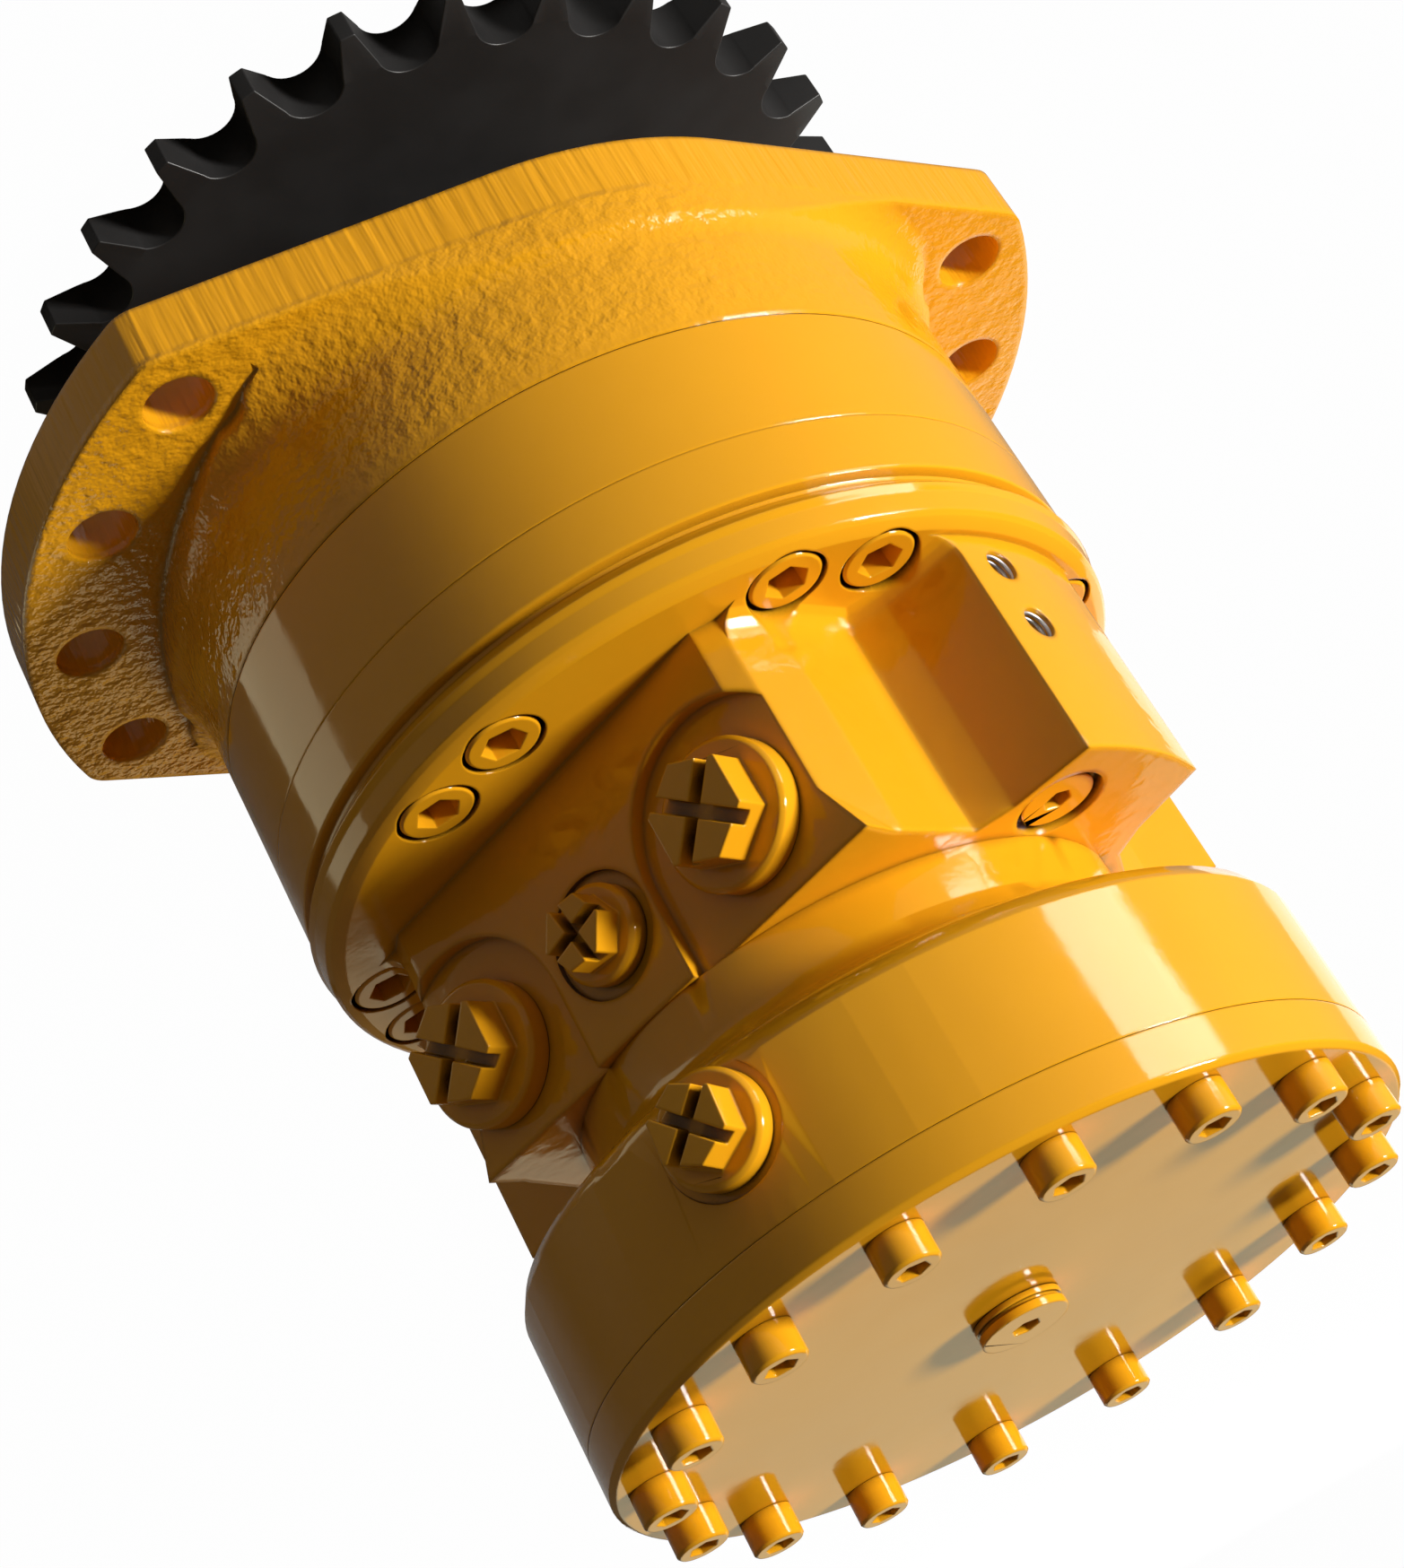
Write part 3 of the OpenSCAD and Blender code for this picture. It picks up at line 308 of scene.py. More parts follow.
def copy_node(node, name):
    """A copy of a CAD node, welded and with its flat faces joined."""
    activate(NODES[node])
    bpy.ops.object.duplicate()
    piece = bpy.context.object
    piece.name = name
    piece.parent = None
    piece.data.name = name
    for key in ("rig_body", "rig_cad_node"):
        if key in piece:
            del piece[key]
    bpy.ops.object.mode_set(mode="EDIT")
    bpy.ops.mesh.select_all(action="SELECT")
    bpy.ops.mesh.remove_doubles(threshold=WELD)
    bpy.ops.mesh.dissolve_limited(angle_limit=math.radians(FLAT_ANGLE))
    bpy.ops.object.mode_set(mode="OBJECT")
    return piece


def place(piece, body, slot, paint, *replaced):
    """Gives a finished piece its material and its body, and hides the CAD nodes that it stands for."""
    piece.data.materials.clear()
    piece.data.materials.append(paint)
    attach(piece, body)
    if replaced:
        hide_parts(*replaced)


def dress(node, body, slot, paint, width, angle=EDGE_ANGLE, shape=None):
    """Replaces a CAD node by a copy of itself with rounded edges.

    shape(piece) may give the copy finer forms first.
    """
    piece = copy_node(node, node + "_finished")
    if shape is not None:
        shape(piece)
    round_edges(piece, width, angle)
    place(piece, body, slot, paint, node)
    return piece


# Places of a Mix node's sockets when it mixes colours: the factor and the two colours, and the result.
MIX_COLOUR_INPUTS = (0, 6, 7)
MIX_COLOUR_OUTPUT = 2
# How finely detailed a noise is, in octaves.
PLAIN = 1.0
FINE = 2.0
RICH = 3.0


class Shader:
    """A material's node tree, built by short calls."""

    def __init__(self, name):
        self.material = bpy.data.materials.new(name)
        self.material.use_nodes = True
        self.tree = self.material.node_tree
        self.tree.nodes.clear()
        self.output = self.tree.nodes.new("ShaderNodeOutputMaterial")
        self.object_point = self.node("TexCoord").outputs["Object"]

    def node(self, kind, settings=None, **inputs):
        """Adds a node. An input is a value, or a socket to link."""
        made = self.tree.nodes.new("ShaderNode" + kind)
        for key, value in (settings or {}).items():
            setattr(made, key, value)
        for key, value in inputs.items():
            socket = made.inputs[key.replace("_", " ")]
            if isinstance(value, bpy.types.NodeSocket):
                self.tree.links.new(value, socket)
            else:
                socket.default_value = value
        return made

    def math(self, operation, first, second):
        """A number worked out from two numbers or sockets."""
        made = self.tree.nodes.new("ShaderNodeMath")
        made.operation = operation
        for socket, value in zip(made.inputs, (first, second)):
            if isinstance(value, bpy.types.NodeSocket):
                self.tree.links.new(value, socket)
            else:
                socket.default_value = value
        return made.outputs[0]

    def ramp(self, value, low, high, to_low=0.0, to_high=1.0):
        """Smooth step of a value from low to high."""
        made = self.node(
            "MapRange", {"interpolation_type": "SMOOTHSTEP"}, Value=value, From_Min=low, From_Max=high,
            To_Min=to_low, To_Max=to_high,
        )
        return made.outputs["Result"]

    def noise(self, scale, detail=FINE, roughness=0.5, point=None):
        """A noise with features of about 1 / scale metres."""
        made = self.node(
            "TexNoise", Vector=point or self.object_point, Scale=scale, Detail=detail,
            Roughness=roughness,
        )
        return made.outputs["Fac"]

    def mix_colour(self, factor, first, second):
        """A colour between two, by a factor."""
        made = self.node("Mix", {"data_type": "RGBA"})
        sockets = [made.inputs[number] for number in MIX_COLOUR_INPUTS]
        for socket, value in zip(sockets, (factor, first, second)):
            if isinstance(value, bpy.types.NodeSocket):
                self.tree.links.new(value, socket)
            else:
                socket.default_value = value
        return made.outputs[MIX_COLOUR_OUTPUT]

    def bump(self, height, distance, strength=1.0, normal=None):
        """A bump of a height map, over another bump where one is given."""
        inputs = {"Height": height, "Distance": distance, "Strength": strength}
        if normal is not None:
            inputs["Normal"] = normal
        return self.node("Bump", **inputs).outputs["Normal"]

    def finish(self, **inputs):
        """Ends the tree in a Principled shader."""
        shader = self.node("BsdfPrincipled", **inputs)
        self.tree.links.new(shader.outputs[0], self.output.inputs["Surface"])
        return self.material


def rgba(colour):
    """A colour with full alpha."""
    return (*colour, 1.0)


# Noises are given in features to the metre. Of a noise's values, nearly all lie in this range.
NOISE_RANGE = (0.3, 0.7)
# The enamel's clouds of colour, its spray marks and flow marks with their heights, and its waver of gloss.
CLOUD_SCALE = 28.0
SPRAY_SCALE = 520.0
SPRAY_HEIGHT = 0.010 * MM
FLOW_SCALE = 60.0
FLOW_HEIGHT = 0.08 * MM
WAVER_SCALE = 90.0
# How much glossier and duller than its roughness the enamel gets.
GLOSSIER = 0.02
DULLER = 0.04
ENAMEL_IOR = 1.5
# Openness of a crevice at which the enamel is all painted shade, and at which it has none.
CREVICE_OPENNESS = (0.28, 0.58)
CREVICE_SAMPLES = 4
BEVEL_SAMPLES = 6


def enamel(name, grain=None, rounding=None):
    """Gloss enamel with painted shade deep in its crevices.

    grain(shader) gives a height map of the metal under the paint, as a share of the cast grain.
    rounding(shader) gives the radius that edges are shaded with, where it isn't the turned one.
    """
    look = bpy.context.scene.motor_paint
    shader = Shader(name)
    cloud = shader.noise(CLOUD_SCALE, RICH)
    colour = shader.mix_colour(cloud, rgba(look.yellow), rgba(look.deep_yellow))
    # Painted shade: where ambient occlusion finds walls close round, the enamel turns to the dark brown of
    # slots, sockets and gaps.
    crevice = shader.node("AmbientOcclusion", {"samples": CREVICE_SAMPLES}, Distance=look.crevice_reach)
    openness = shader.ramp(crevice.outputs["AO"], *CREVICE_OPENNESS)
    colour = shader.mix_colour(openness, rgba(look.painted_shade), colour)
    radius = look.turned_round if rounding is None else rounding(shader)
    normal = shader.node("Bevel", {"samples": BEVEL_SAMPLES}, Radius=radius).outputs["Normal"]
    if grain is not None:
        normal = shader.bump(grain(shader), look.grain_height, 1.0, normal)
    normal = shader.bump(shader.noise(SPRAY_SCALE, PLAIN), SPRAY_HEIGHT, 1.0, normal)
    normal = shader.bump(shader.noise(FLOW_SCALE), FLOW_HEIGHT, 1.0, normal)
    waver = shader.noise(WAVER_SCALE)
    glossiest = look.gloss_roughness - GLOSSIER
    dullest = look.gloss_roughness + DULLER
    roughness = shader.ramp(waver, *NOISE_RANGE, glossiest, dullest)
    return shader.finish(Base_Color=colour, Roughness=roughness, Normal=normal, IOR=ENAMEL_IOR)


# Heights above the mounting face between which a casting's finish changes: at the top of the flange's rim,
# towards the flare's turned end, and at the port block's foot, for its rounding and for its skin.
RIM_TOP = (14.2 * MM, 16.4 * MM)
TURNED_END = (50.0 * MM, 57.5 * MM)
BLOCK_ROUNDING = (123.4 * MM, 126.0 * MM)
BLOCK_SKIN = (124.0 * MM, 127.0 * MM)
# Angles round the shaft, in radians, between which the front case's skin gets rough.
ROUGH_SIDE = (-1.95, -1.45)
# What is left of the skin on the turned end and on the smoother side.
TURNED_END_SHARE = 0.45
SMOOTH_SIDE_SHARE = 0.35
# The cast skin's pits and lumps, and how far the pits are drawn out up the rim into streaks.
PIT_SCALE = 330.0
PIT_ROUGHNESS = 0.6
PIT_SHARE = 0.9
LUMP_SCALE = 150.0
STREAK_SQUEEZE = 0.06
# The port block's faint skin.
BLOCK_SKIN_SCALE = 160.0
BLOCK_SKIN_SHARE = 0.22


def casting_rounding(shader):
    """Wide rounding on the port block above the ledge, narrow on the turned lip."""
    look = bpy.context.scene.motor_paint
    height = shader.node("SeparateXYZ", Vector=shader.object_point).outputs["Z"]
    return shader.ramp(height, *BLOCK_ROUNDING, look.turned_round, look.cast_round)


def flange_rounding(shader):
    """The rounding of a casting all over."""
    return bpy.context.scene.motor_paint.cast_round


def front_case_grain(shader):
    """Sand-cast skin on the flare and the lobes, fainter on the turned end, and streaks on the rim."""
    axes = shader.node("SeparateXYZ", Vector=shader.object_point).outputs
    height = axes["Z"]
    azimuth = shader.math("ARCTAN2", axes["Y"], axes["X"])
    above_rim = shader.ramp(height, *RIM_TOP)
    below_joint = shader.ramp(height, *TURNED_END, 1.0, TURNED_END_SHARE)
    rough_side = shader.ramp(azimuth, *ROUGH_SIDE, SMOOTH_SIDE_SHARE, 1.0)
    pits = shader.math("MULTIPLY", shader.noise(PIT_SCALE, FINE, PIT_ROUGHNESS), PIT_SHARE)
    skin = shader.math("ADD", pits, shader.noise(LUMP_SCALE))
    skin = shader.math("MULTIPLY", skin, shader.math("MULTIPLY", below_joint, above_rim))
    skin = shader.math("MULTIPLY", skin, rough_side)
    squeezed = shader.node("Mapping", Vector=shader.object_point, Scale=(1.0, 1.0, STREAK_SQUEEZE))
    streaks = shader.noise(PIT_SCALE, FINE, PIT_ROUGHNESS, squeezed.outputs[0])
    rim = shader.math("SUBTRACT", 1.0, above_rim)
    return shader.math("ADD", skin, shader.math("MULTIPLY", streaks, rim))


def block_grain(shader):
    """Faint cast skin on the port block, none on the turned lip."""
    height = shader.node("SeparateXYZ", Vector=shader.object_point).outputs["Z"]
    above_lip = shader.ramp(height, *BLOCK_SKIN)
    skin = shader.math("MULTIPLY", shader.noise(BLOCK_SKIN_SCALE), BLOCK_SKIN_SHARE)
    return shader.math("MULTIPLY", skin, above_lip)


# Steel's turning marks, its dull patches and its dark patches, how much glossier and duller it gets, and
# its shade in a dark patch.
MARK_SCALE = 900.0
MARK_HEIGHT = 0.01 * MM
DULL_PATCH_SCALE = 60.0
DARK_PATCH_SCALE = 45.0
STEEL_GLOSSIER = 0.05
STEEL_DULLER = 0.08
DARK_PATCH_SHADE = 0.86
# Roughness of the two steels, and how much of a metal the blackened one still is.
BLACK_STEEL_ROUGHNESS = 0.42
BLACK_STEEL_METAL = 0.35
BRIGHT_STEEL_ROUGHNESS = 0.3


def steel(name, colour, roughness, metallic=1.0):
    """Machined steel with fine turning marks."""
    shader = Shader(name)
    marks = shader.bump(shader.noise(MARK_SCALE), MARK_HEIGHT)
    dull_patches = shader.noise(DULL_PATCH_SCALE, RICH)
    dark_patches = shader.noise(DARK_PATCH_SCALE, RICH)
    glossiest = roughness - STEEL_GLOSSIER
    dullest = roughness + STEEL_DULLER
    rough = shader.ramp(dull_patches, *NOISE_RANGE, glossiest, dullest)
    shade = shader.ramp(dark_patches, *NOISE_RANGE, DARK_PATCH_SHADE, 1.0)
    tint = shader.node("Mix", {"data_type": "RGBA", "blend_type": "MULTIPLY"})
    factor, first, second = [tint.inputs[number] for number in MIX_COLOUR_INPUTS]
    factor.default_value = 1.0
    first.default_value = rgba(colour)
    shader.tree.links.new(shade, second)
    tinted = tint.outputs[MIX_COLOUR_OUTPUT]
    return shader.finish(Base_Color=tinted, Roughness=rough, Metallic=metallic, Normal=marks)


# The rubber's bloom, its fine skin and its roughness.
BLOOM_SCALE = 140.0
RUBBER_SKIN_SCALE = 800.0
RUBBER_SKIN_HEIGHT = 0.01 * MM
RUBBER_ROUGHNESS = 0.55
# The friction lining's specks, its roughness and how much of a metal it is.
SPECK_SCALE = 700.0
LINING_ROUGHNESS = 0.6
LINING_METAL = 0.5


def rubber(name):
    """Black seal rubber."""
    look = bpy.context.scene.motor_paint
    shader = Shader(name)
    cloud = shader.noise(BLOOM_SCALE, RICH)
    bloom = shader.mix_colour(cloud, rgba(look.seal_black), rgba(look.seal_bloom))
    skin = shader.bump(shader.noise(RUBBER_SKIN_SCALE), RUBBER_SKIN_HEIGHT)
    return shader.finish(Base_Color=bloom, Roughness=RUBBER_ROUGHNESS, Normal=skin)


def friction_lining(name):
    """Sintered lining of the brake discs."""
    look = bpy.context.scene.motor_paint
    shader = Shader(name)
    cloud = shader.noise(SPECK_SCALE)
    specks = shader.mix_colour(cloud, rgba(look.lining_dark), rgba(look.lining_light))
    return shader.finish(Base_Color=specks, Roughness=LINING_ROUGHNESS, Metallic=LINING_METAL)


def material(name):
    """A material of this scene by its name."""
    return bpy.data.materials[name]


class MOTOR_OT_materials(bpy.types.Operator):
    """Makes the enamel, steel, rubber and lining."""

    bl_idname = "motor.materials"
    bl_label = "Materials"

    def execute(self, context):
        look = context.scene.motor_paint
        enamel("yellow_enamel")
        enamel("yellow_enamel_flange", front_case_grain, flange_rounding)
        enamel("yellow_enamel_block", block_grain, casting_rounding)
        steel("black_steel", look.black_steel, BLACK_STEEL_ROUGHNESS, BLACK_STEEL_METAL)
        steel("bright_steel", look.bright_steel, BRIGHT_STEEL_ROUGHNESS)
        rubber("seal_rubber")
        friction_lining("friction_lining")
        return {"FINISHED"}


# The finish that each of the frame's material slots gets.
FINISHES = {
    "yellow_paint": "yellow_enamel",
    "bright_steel": "bright_steel",
    "dark_steel": "black_steel",
    "seal_rubber": "seal_rubber",
    "bronze": "friction_lining",
}


class MOTOR_OT_inner_parts(bpy.types.Operator):
    """Finishes the pieces inside the case, and every node that keeps its CAD mesh."""

    bl_idname = "motor.inner_parts"
    bl_label = "Inner Parts"

    def execute(self, context):
        slots = {entry["node"]: entry["material_slot"] for entry in frame["record"]["subparts"]}
        for node, piece in NODES.items():
            piece.data.materials.clear()
            piece.data.materials.append(material(FINISHES[slots[node]]))
            activate(piece)
            bpy.ops.object.shade_smooth_by_angle(angle=math.radians(INNER_SMOOTH_ANGLE))
        return {"FINISHED"}


# Height above the mounting face and radius, in millimetres, round the rear case's lip: the case's end,
# the groove, the flared wall past it, the bead and the lip's wall. Beyond, the wall turns in to the ledge.
LIP_OUTLINE = (
    (102.2, 105.0), (106.8, 105.0), (107.4, 104.7), (107.8, 103.6), (108.2, 102.7), (109.2, 102.5),
    (112.6, 105.6), (113.4, 106.2), (114.3, 105.9), (115.4, 105.5), (120.4, 105.0), (121.6, 104.0),
)
# The lip's wall lies outside this radius, in millimetres, and the bolts' counterbores inside it.
LIP_INSIDE = 103.5
# The pad's two threaded holes: their heights, the distance of the pad's face from the shaft's axis and the
# holes' radius, in millimetres, and the angle round the shaft that they face, in degrees.
PAD_HOLE_HEIGHTS = (131.9, 149.0)
PAD_FACE = 99.2
PAD_HOLE_RADIUS = 4.25
PAD_ANGLE = -113.4
# Their threads: pitch and depth in millimetres, number of turns, how many pitches behind the pad's face the
# first turn lies, and a turn's segments and sides.
THREAD_PITCH = 1.5
THREAD_DEPTH = 0.45
THREAD_TURNS = 8
THREAD_START = 0.8
THREAD_SEGMENTS = 40
THREAD_SIDES = 8


def lip_radius(height):
    """The lip's radius at a height, both in millimetres, or None above and below the lip."""
    for (low, low_radius), (high, high_radius) in zip(LIP_OUTLINE, LIP_OUTLINE[1:]):
        if low <= height <= high:
            return low_radius + (high_radius - low_radius) * (height - low) / (high - low)
    return None


def turn_lip(piece):
    """Cuts rings round the rear case's lip and draws its wall to the lip's outline."""
    activate(piece)
    bpy.ops.object.mode_set(mode="EDIT")
    for height, _ in LIP_OUTLINE[:-1]:
        bpy.ops.mesh.select_all(action="SELECT")
        bpy.ops.mesh.bisect(plane_co=(0.0, 0.0, height * MM), plane_no=UP)
    bpy.ops.object.mode_set(mode="OBJECT")
    for vertex in piece.data.vertices:
        radius = math.hypot(vertex.co.x, vertex.co.y) / MM
        wanted = lip_radius(vertex.co.z / MM)
        if wanted is not None and radius > LIP_INSIDE:
            vertex.co.x *= wanted / radius
            vertex.co.y *= wanted / radius


class MOTOR_OT_brake_spring(bpy.types.Operator):
    """Finishes the brake's disc spring, which flattens as the brake piston lifts."""

    bl_idname = "motor.brake_spring"
    bl_label = "Brake Spring"

    def execute(self, context):
        width = context.scene.motor_sizes.spring_edge
        spring = dress("brake_spring", "case", "dark_steel", material("black_steel"), width)
        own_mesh(spring)
        return {"FINISHED"}


class MOTOR_OT_castings(bpy.types.Operator):
    """Finishes the front case, the cam ring, the rear case, the brake housing and its cover."""

    bl_idname = "motor.castings"
    bl_label = "Castings"

    def execute(self, context):
        cast = context.scene.motor_sizes.cast_edge
        turned = context.scene.motor_sizes.turned_edge
        flange_enamel = material("yellow_enamel_flange")
        block_enamel = material("yellow_enamel_block")
        dress("front_case", "case", "yellow_paint", flange_enamel, cast)
        dress("rear_case", "case", "yellow_paint", block_enamel, turned, FACET_EDGE_ANGLE, turn_lip)
        for node in ("cam_ring", "brake_housing", "brake_cover"):
            dress(node, "case", "yellow_paint", material("yellow_enamel"), turned)
        return {"FINISHED"}


PLUGS = ("port_plug_a", "port_plug_b", "drain_plug", "brake_port_plug", "end_plug", "cover_plug")
SCREWS = ("case_bolts", "cover_screws")


class MOTOR_OT_plugs(bpy.types.Operator):
    """Finishes the plugs, the case bolts and the cover's screws."""

    bl_idname = "motor.plugs"
    bl_label = "Plugs and Screws"

    def execute(self, context):
        width = context.scene.motor_sizes.small_edge
        for node in PLUGS + SCREWS:
            dress(node, "case", "yellow_paint", material("yellow_enamel"), width, SMALL_EDGE_ANGLE)
        return {"FINISHED"}


class MOTOR_OT_threads(bpy.types.Operator):
    """Makes the bare steel threads in the pad's two holes."""

    bl_idname = "motor.threads"
    bl_label = "Threads"

    def execute(self, context):
        angle = math.radians(PAD_ANGLE)
        outwards = Vector((math.cos(angle), math.sin(angle), 0.0))
        facing = outwards.to_track_quat("Z", "Y").to_euler()
        for number, height in enumerate(PAD_HOLE_HEIGHTS, 1):
            turns = []
            for i in range(THREAD_TURNS):
                distance = PAD_FACE - (i + THREAD_START) * THREAD_PITCH
                bpy.ops.mesh.primitive_torus_add(
                    location=outwards * distance * MM + Vector((0.0, 0.0, height * MM)),
                    rotation=facing,
                    major_radius=PAD_HOLE_RADIUS * MM,
                    minor_radius=THREAD_DEPTH * MM,
                    major_segments=THREAD_SEGMENTS,
                    minor_segments=THREAD_SIDES,
                )
                bpy.ops.object.transform_apply(location=True, rotation=True, scale=True)
                turns.append(bpy.context.object)
            activate(turns[0])
            for turn in turns:
                turn.select_set(True)
            bpy.ops.object.join()
            thread = bpy.context.object
            thread.name = "pad_thread_" + str(number)
            smooth(thread, THREAD_SMOOTH_ANGLE)
            place(thread, "case", "bright_steel", material("bright_steel"))
        return {"FINISHED"}


class MOTOR_OT_sprocket(bpy.types.Operator):
    """Finishes the drive sprocket, its washer and its screw."""

    bl_idname = "motor.sprocket"
    bl_label = "Drive Sprocket"

    def execute(self, context):
        width = context.scene.motor_sizes.small_edge
        for node in ("drive_sprocket", "sprocket_washer", "sprocket_screw"):
            dress(node, "rotor", "dark_steel", material("black_steel"), width, SPROCKET_EDGE_ANGLE)
        return {"FINISHED"}


# Width, height and colour of the key lamp and the fill lamp.
KEY_SIZE = (0.5, 0.35)
KEY_COLOUR = (1.0, 0.98, 0.95)
FILL_SIZE = (0.9, 0.5)
FILL_COLOUR = (0.97, 0.98, 1.0)
# What the paint reflects of the room, as panels that light nothing else: name, spot, target, width and
# height, power and colour. A spot and a target are a radius from the shaft's axis, an angle round it in
# degrees and a height above the mounting face.
PANELS = (
    ("window", (0.504, -123.6, 0.065), (0.099, -95.0, 0.065), (0.20, 0.135), 0.62, (1.0, 1.0, 0.97)),
    ("white_wall", (0.42, 152.0, 0.075), (0.0, 0.0, 0.075), (0.30, 0.25), 0.25, (1.0, 0.97, 0.92)),
    ("grey_wall", (0.215, 17.0, 0.015), (0.103, -10.0, 0.06), (0.075, 0.12), 0.032, (1.0, 0.93, 0.62)),
    ("pale_wall", (1.0, 122.0, 0.54), (0.0, 0.0, 0.26), (1.1, 0.26), 0.75, (1.0, 0.97, 0.68)),
)
FLOOR_SIZE = 16.0
# Width of the camera's sensor, in millimetres, and the nearest and the farthest that it sees, in metres.
SENSOR_WIDTH = 36.0
NEAREST = 0.01
FARTHEST = 50.0


def polar(radius, azimuth, elevation):
    """A point at a distance from the middle, by its angles in degrees."""
    turn = math.radians(azimuth)
    lift = math.radians(elevation)
    outwards = math.cos(lift)
    return Vector((outwards * math.cos(turn), outwards * math.sin(turn), math.sin(lift))) * radius


def around(radius, azimuth, height):
    """A point at a radius from the shaft's axis, at a height above the mounting face."""
    turn = math.radians(azimuth)
    return Vector((radius * math.cos(turn), radius * math.sin(turn), height))


def softbox(name, spot, target, size, power, colour):
    """A rectangular lamp at a spot that faces a target, its height upright."""
    bpy.ops.object.light_add(type="AREA", location=spot)
    lamp = bpy.context.object
    lamp.name = name
    lamp.rotation_euler = (target - spot).to_track_quat("-Z", "Y").to_euler()
    lamp.data.shape = "RECTANGLE"
    lamp.data.size, lamp.data.size_y = size
    lamp.data.energy = power
    lamp.data.color = colour
    lamp.visible_camera = False
    return lamp


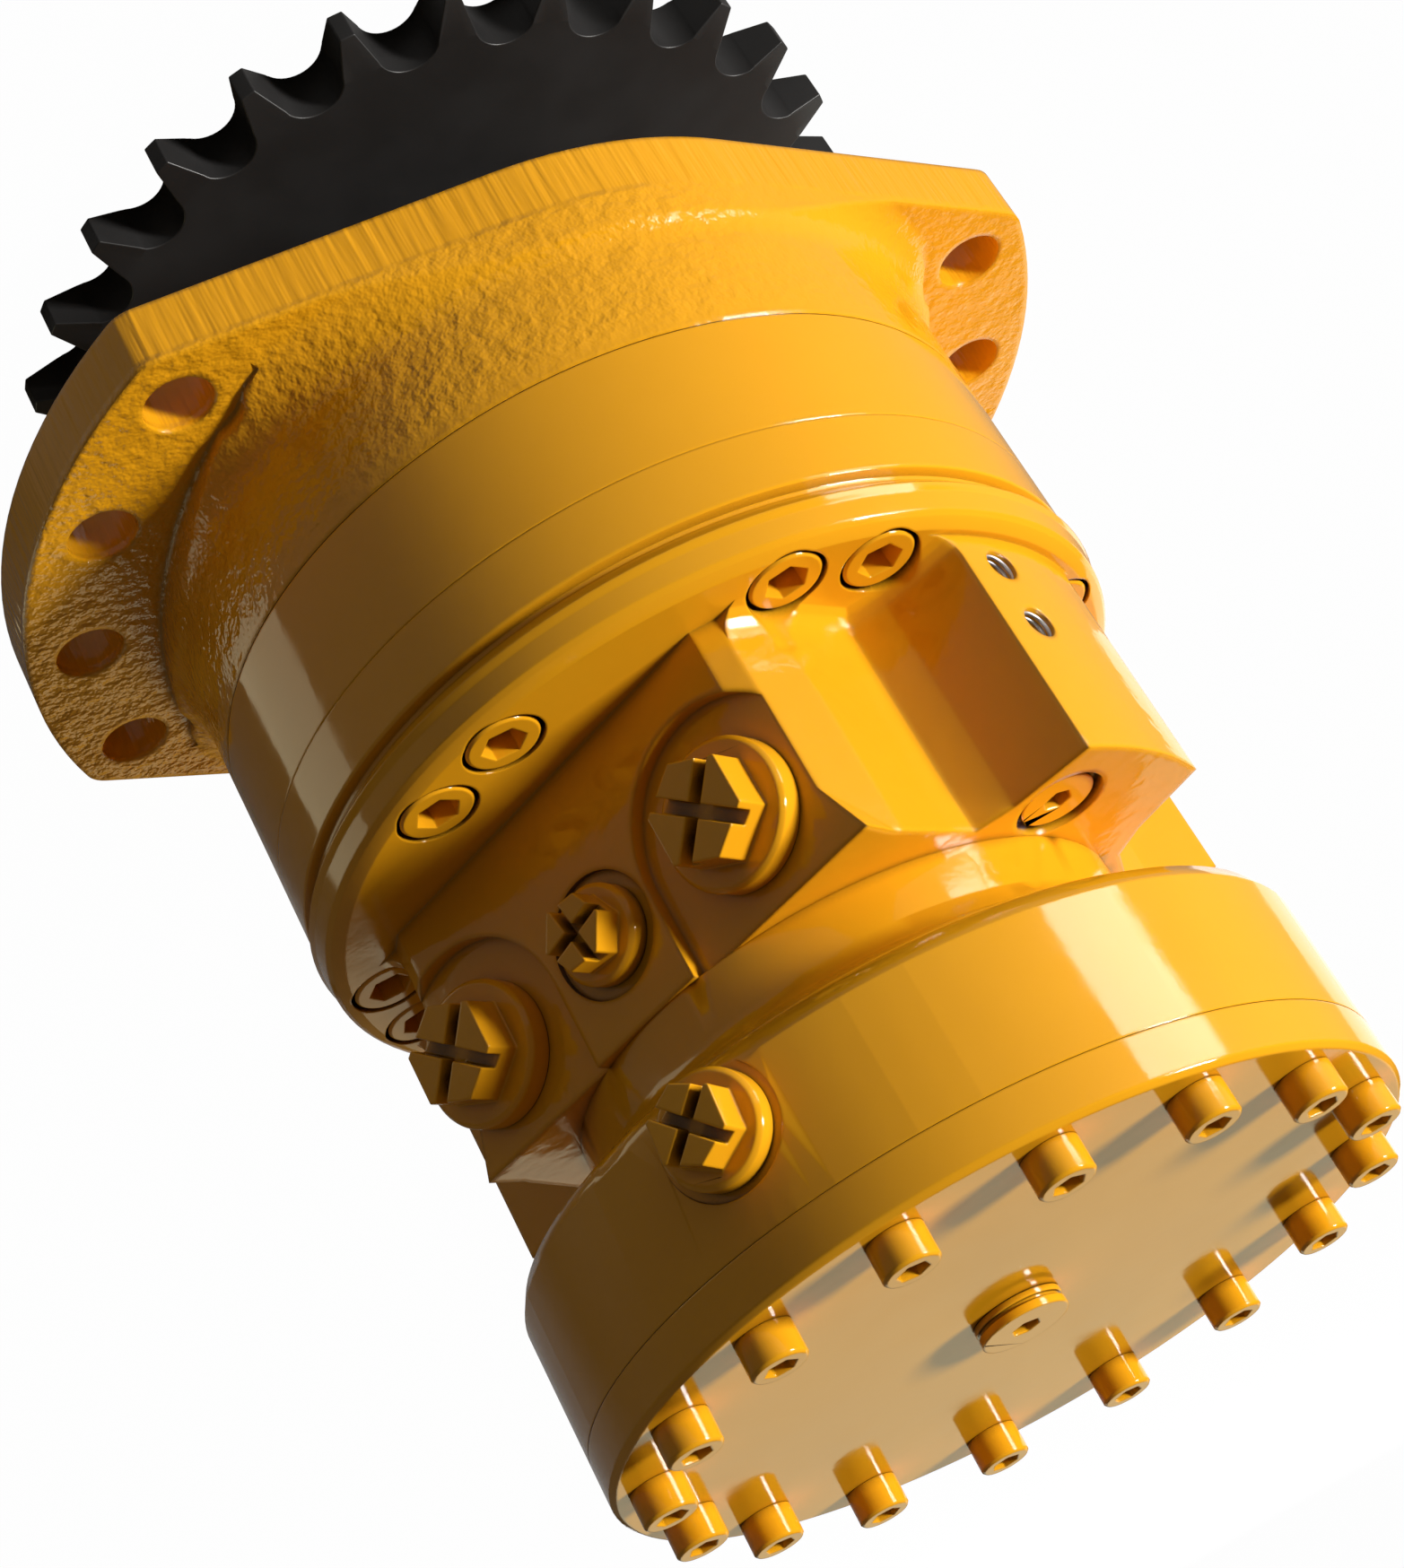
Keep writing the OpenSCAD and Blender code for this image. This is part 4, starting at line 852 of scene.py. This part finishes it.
class MOTOR_OT_stage(bpy.types.Operator):
    """Sets up the floor, the lamps, the background and the camera."""

    bl_idname = "motor.stage"
    bl_label = "Stage"

    def execute(self, context):
        self.floor()
        self.lamps()
        self.world(context.scene)
        self.camera(context.scene)
        context.scene.view_settings.view_transform = "Standard"
        return {"FINISHED"}

    def floor(self):
        """A pale floor under the sprocket: nearly white to the camera, grey in the light it throws back."""
        view = bpy.context.scene.motor_stage
        bpy.ops.mesh.primitive_plane_add(size=FLOOR_SIZE, location=(0.0, 0.0, CAD_BOX[0].z))
        floor = bpy.context.object
        floor.name = "floor"
        shader = Shader("pale_floor")
        diffuse = shader.node("BsdfDiffuse", Color=rgba((view.floor_grey,) * 3))
        glow = shader.node("Emission", Color=rgba(WHITE), Strength=1.0)
        path = shader.node("LightPath").outputs
        seen = shader.math("MAXIMUM", path["Is Camera Ray"], path["Is Transmission Ray"])
        share = shader.math("MULTIPLY", seen, view.floor_white)
        mixed = shader.node("MixShader", Fac=share)
        shader.tree.links.new(diffuse.outputs[0], mixed.inputs[1])
        shader.tree.links.new(glow.outputs[0], mixed.inputs[2])
        shader.tree.links.new(mixed.outputs[0], shader.output.inputs["Surface"])
        floor.data.materials.append(shader.material)

    def lamps(self):
        """A key lamp, a fill lamp behind the object, and the panels that only its gloss shows."""
        view = bpy.context.scene.motor_stage
        middle = Vector((0.0, 0.0, view.lamp_target_height))
        key_spot = middle + polar(view.lamp_distance, view.key_azimuth, view.key_elevation)
        softbox("key_lamp", key_spot, middle, KEY_SIZE, view.key_power, KEY_COLOUR)
        fill_spot = middle + polar(view.lamp_distance, view.fill_azimuth, view.fill_elevation)
        fill = softbox("fill_lamp", fill_spot, middle, FILL_SIZE, view.fill_power, FILL_COLOUR)
        fill.visible_glossy = False
        for name, spot, target, size, power, colour in PANELS:
            panel = softbox(name, around(*spot), around(*target), size, power, colour)
            panel.visible_diffuse = False

    def world(self, scene):
        """A white background for the camera and a weak warm light from all round."""
        view = scene.motor_stage
        scene.world = bpy.data.worlds.new("studio")
        scene.world.use_nodes = True
        tree = scene.world.node_tree
        tree.nodes.clear()
        output = tree.nodes.new("ShaderNodeOutputWorld")
        light = tree.nodes.new("ShaderNodeBackground")
        light.inputs["Color"].default_value = rgba(view.room_colour)
        light.inputs["Strength"].default_value = view.room_strength
        white = tree.nodes.new("ShaderNodeBackground")
        white.inputs["Color"].default_value = rgba(WHITE)
        white.inputs["Strength"].default_value = 1.0
        path = tree.nodes.new("ShaderNodeLightPath")
        mixed = tree.nodes.new("ShaderNodeMixShader")
        tree.links.new(path.outputs["Is Camera Ray"], mixed.inputs[0])
        tree.links.new(light.outputs[0], mixed.inputs[1])
        tree.links.new(white.outputs[0], mixed.inputs[2])
        tree.links.new(mixed.outputs[0], output.inputs["Surface"])

    def camera(self, scene):
        """The photograph's camera, which was rolled over and looked at the object from the cover's end."""
        view = scene.motor_stage
        back = polar(1.0, view.azimuth, view.elevation)
        turn = math.radians(view.azimuth)
        level = Vector((-math.sin(turn), math.cos(turn), 0.0))
        upright = back.cross(level)
        roll = math.radians(view.roll)
        right = level * math.cos(roll) + upright * math.sin(roll)
        up = upright * math.cos(roll) - level * math.sin(roll)
        spot = Vector((0.0, 0.0, view.target_height)) + back * view.distance
        bpy.ops.object.camera_add(location=spot)
        camera = bpy.context.object
        camera.matrix_world = Matrix.Translation(spot) @ Matrix((right, up, back)).transposed().to_4x4()
        lens = camera.data
        lens.sensor_fit = "HORIZONTAL"
        lens.sensor_width = SENSOR_WIDTH
        lens.lens = view.focal_pixels * lens.sensor_width / PHOTO_WIDTH
        lens.shift_x = view.shift_pixels_x / PHOTO_WIDTH
        lens.shift_y = view.shift_pixels_y / PHOTO_WIDTH
        lens.clip_start = NEAREST
        lens.clip_end = FARTHEST
        scene.camera = camera


class MOTOR_PT_panel(bpy.types.Panel):
    """Lists the motor's steps."""

    bl_idname = "MOTOR_PT_panel"
    bl_label = "Hydraulic Motor"
    bl_space_type = "VIEW_3D"
    bl_region_type = "UI"
    bl_category = "Motor"

    def draw(self, context):
        for operator in OPERATORS:
            self.layout.operator(operator.bl_idname)


OPERATORS = (
    MOTOR_OT_stage,
    MOTOR_OT_materials,
    MOTOR_OT_inner_parts,
    MOTOR_OT_brake_spring,
    MOTOR_OT_castings,
    MOTOR_OT_plugs,
    MOTOR_OT_threads,
    MOTOR_OT_sprocket,
)
SETTINGS = {"motor_paint": PaintSettings, "motor_sizes": SizeSettings, "motor_stage": StageSettings}


def register():
    """Adds the settings, the operators and the panel."""
    for name, group in SETTINGS.items():
        bpy.utils.register_class(group)
        setattr(bpy.types.Scene, name, PointerProperty(type=group))
    for operator in OPERATORS:
        bpy.utils.register_class(operator)
    bpy.utils.register_class(MOTOR_PT_panel)


def unregister():
    """Takes them away again."""
    bpy.utils.unregister_class(MOTOR_PT_panel)
    for operator in reversed(OPERATORS):
        bpy.utils.unregister_class(operator)
    for name, group in SETTINGS.items():
        delattr(bpy.types.Scene, name)
        bpy.utils.unregister_class(group)


def main():
    """Runs every step in order."""
    register()
    bpy.ops.motor.stage()
    bpy.ops.motor.materials()
    bpy.ops.motor.inner_parts()
    bpy.ops.motor.brake_spring()
    bpy.ops.motor.castings()
    bpy.ops.motor.plugs()
    bpy.ops.motor.threads()
    bpy.ops.motor.sprocket()


if __name__ == "__main__":
    main()
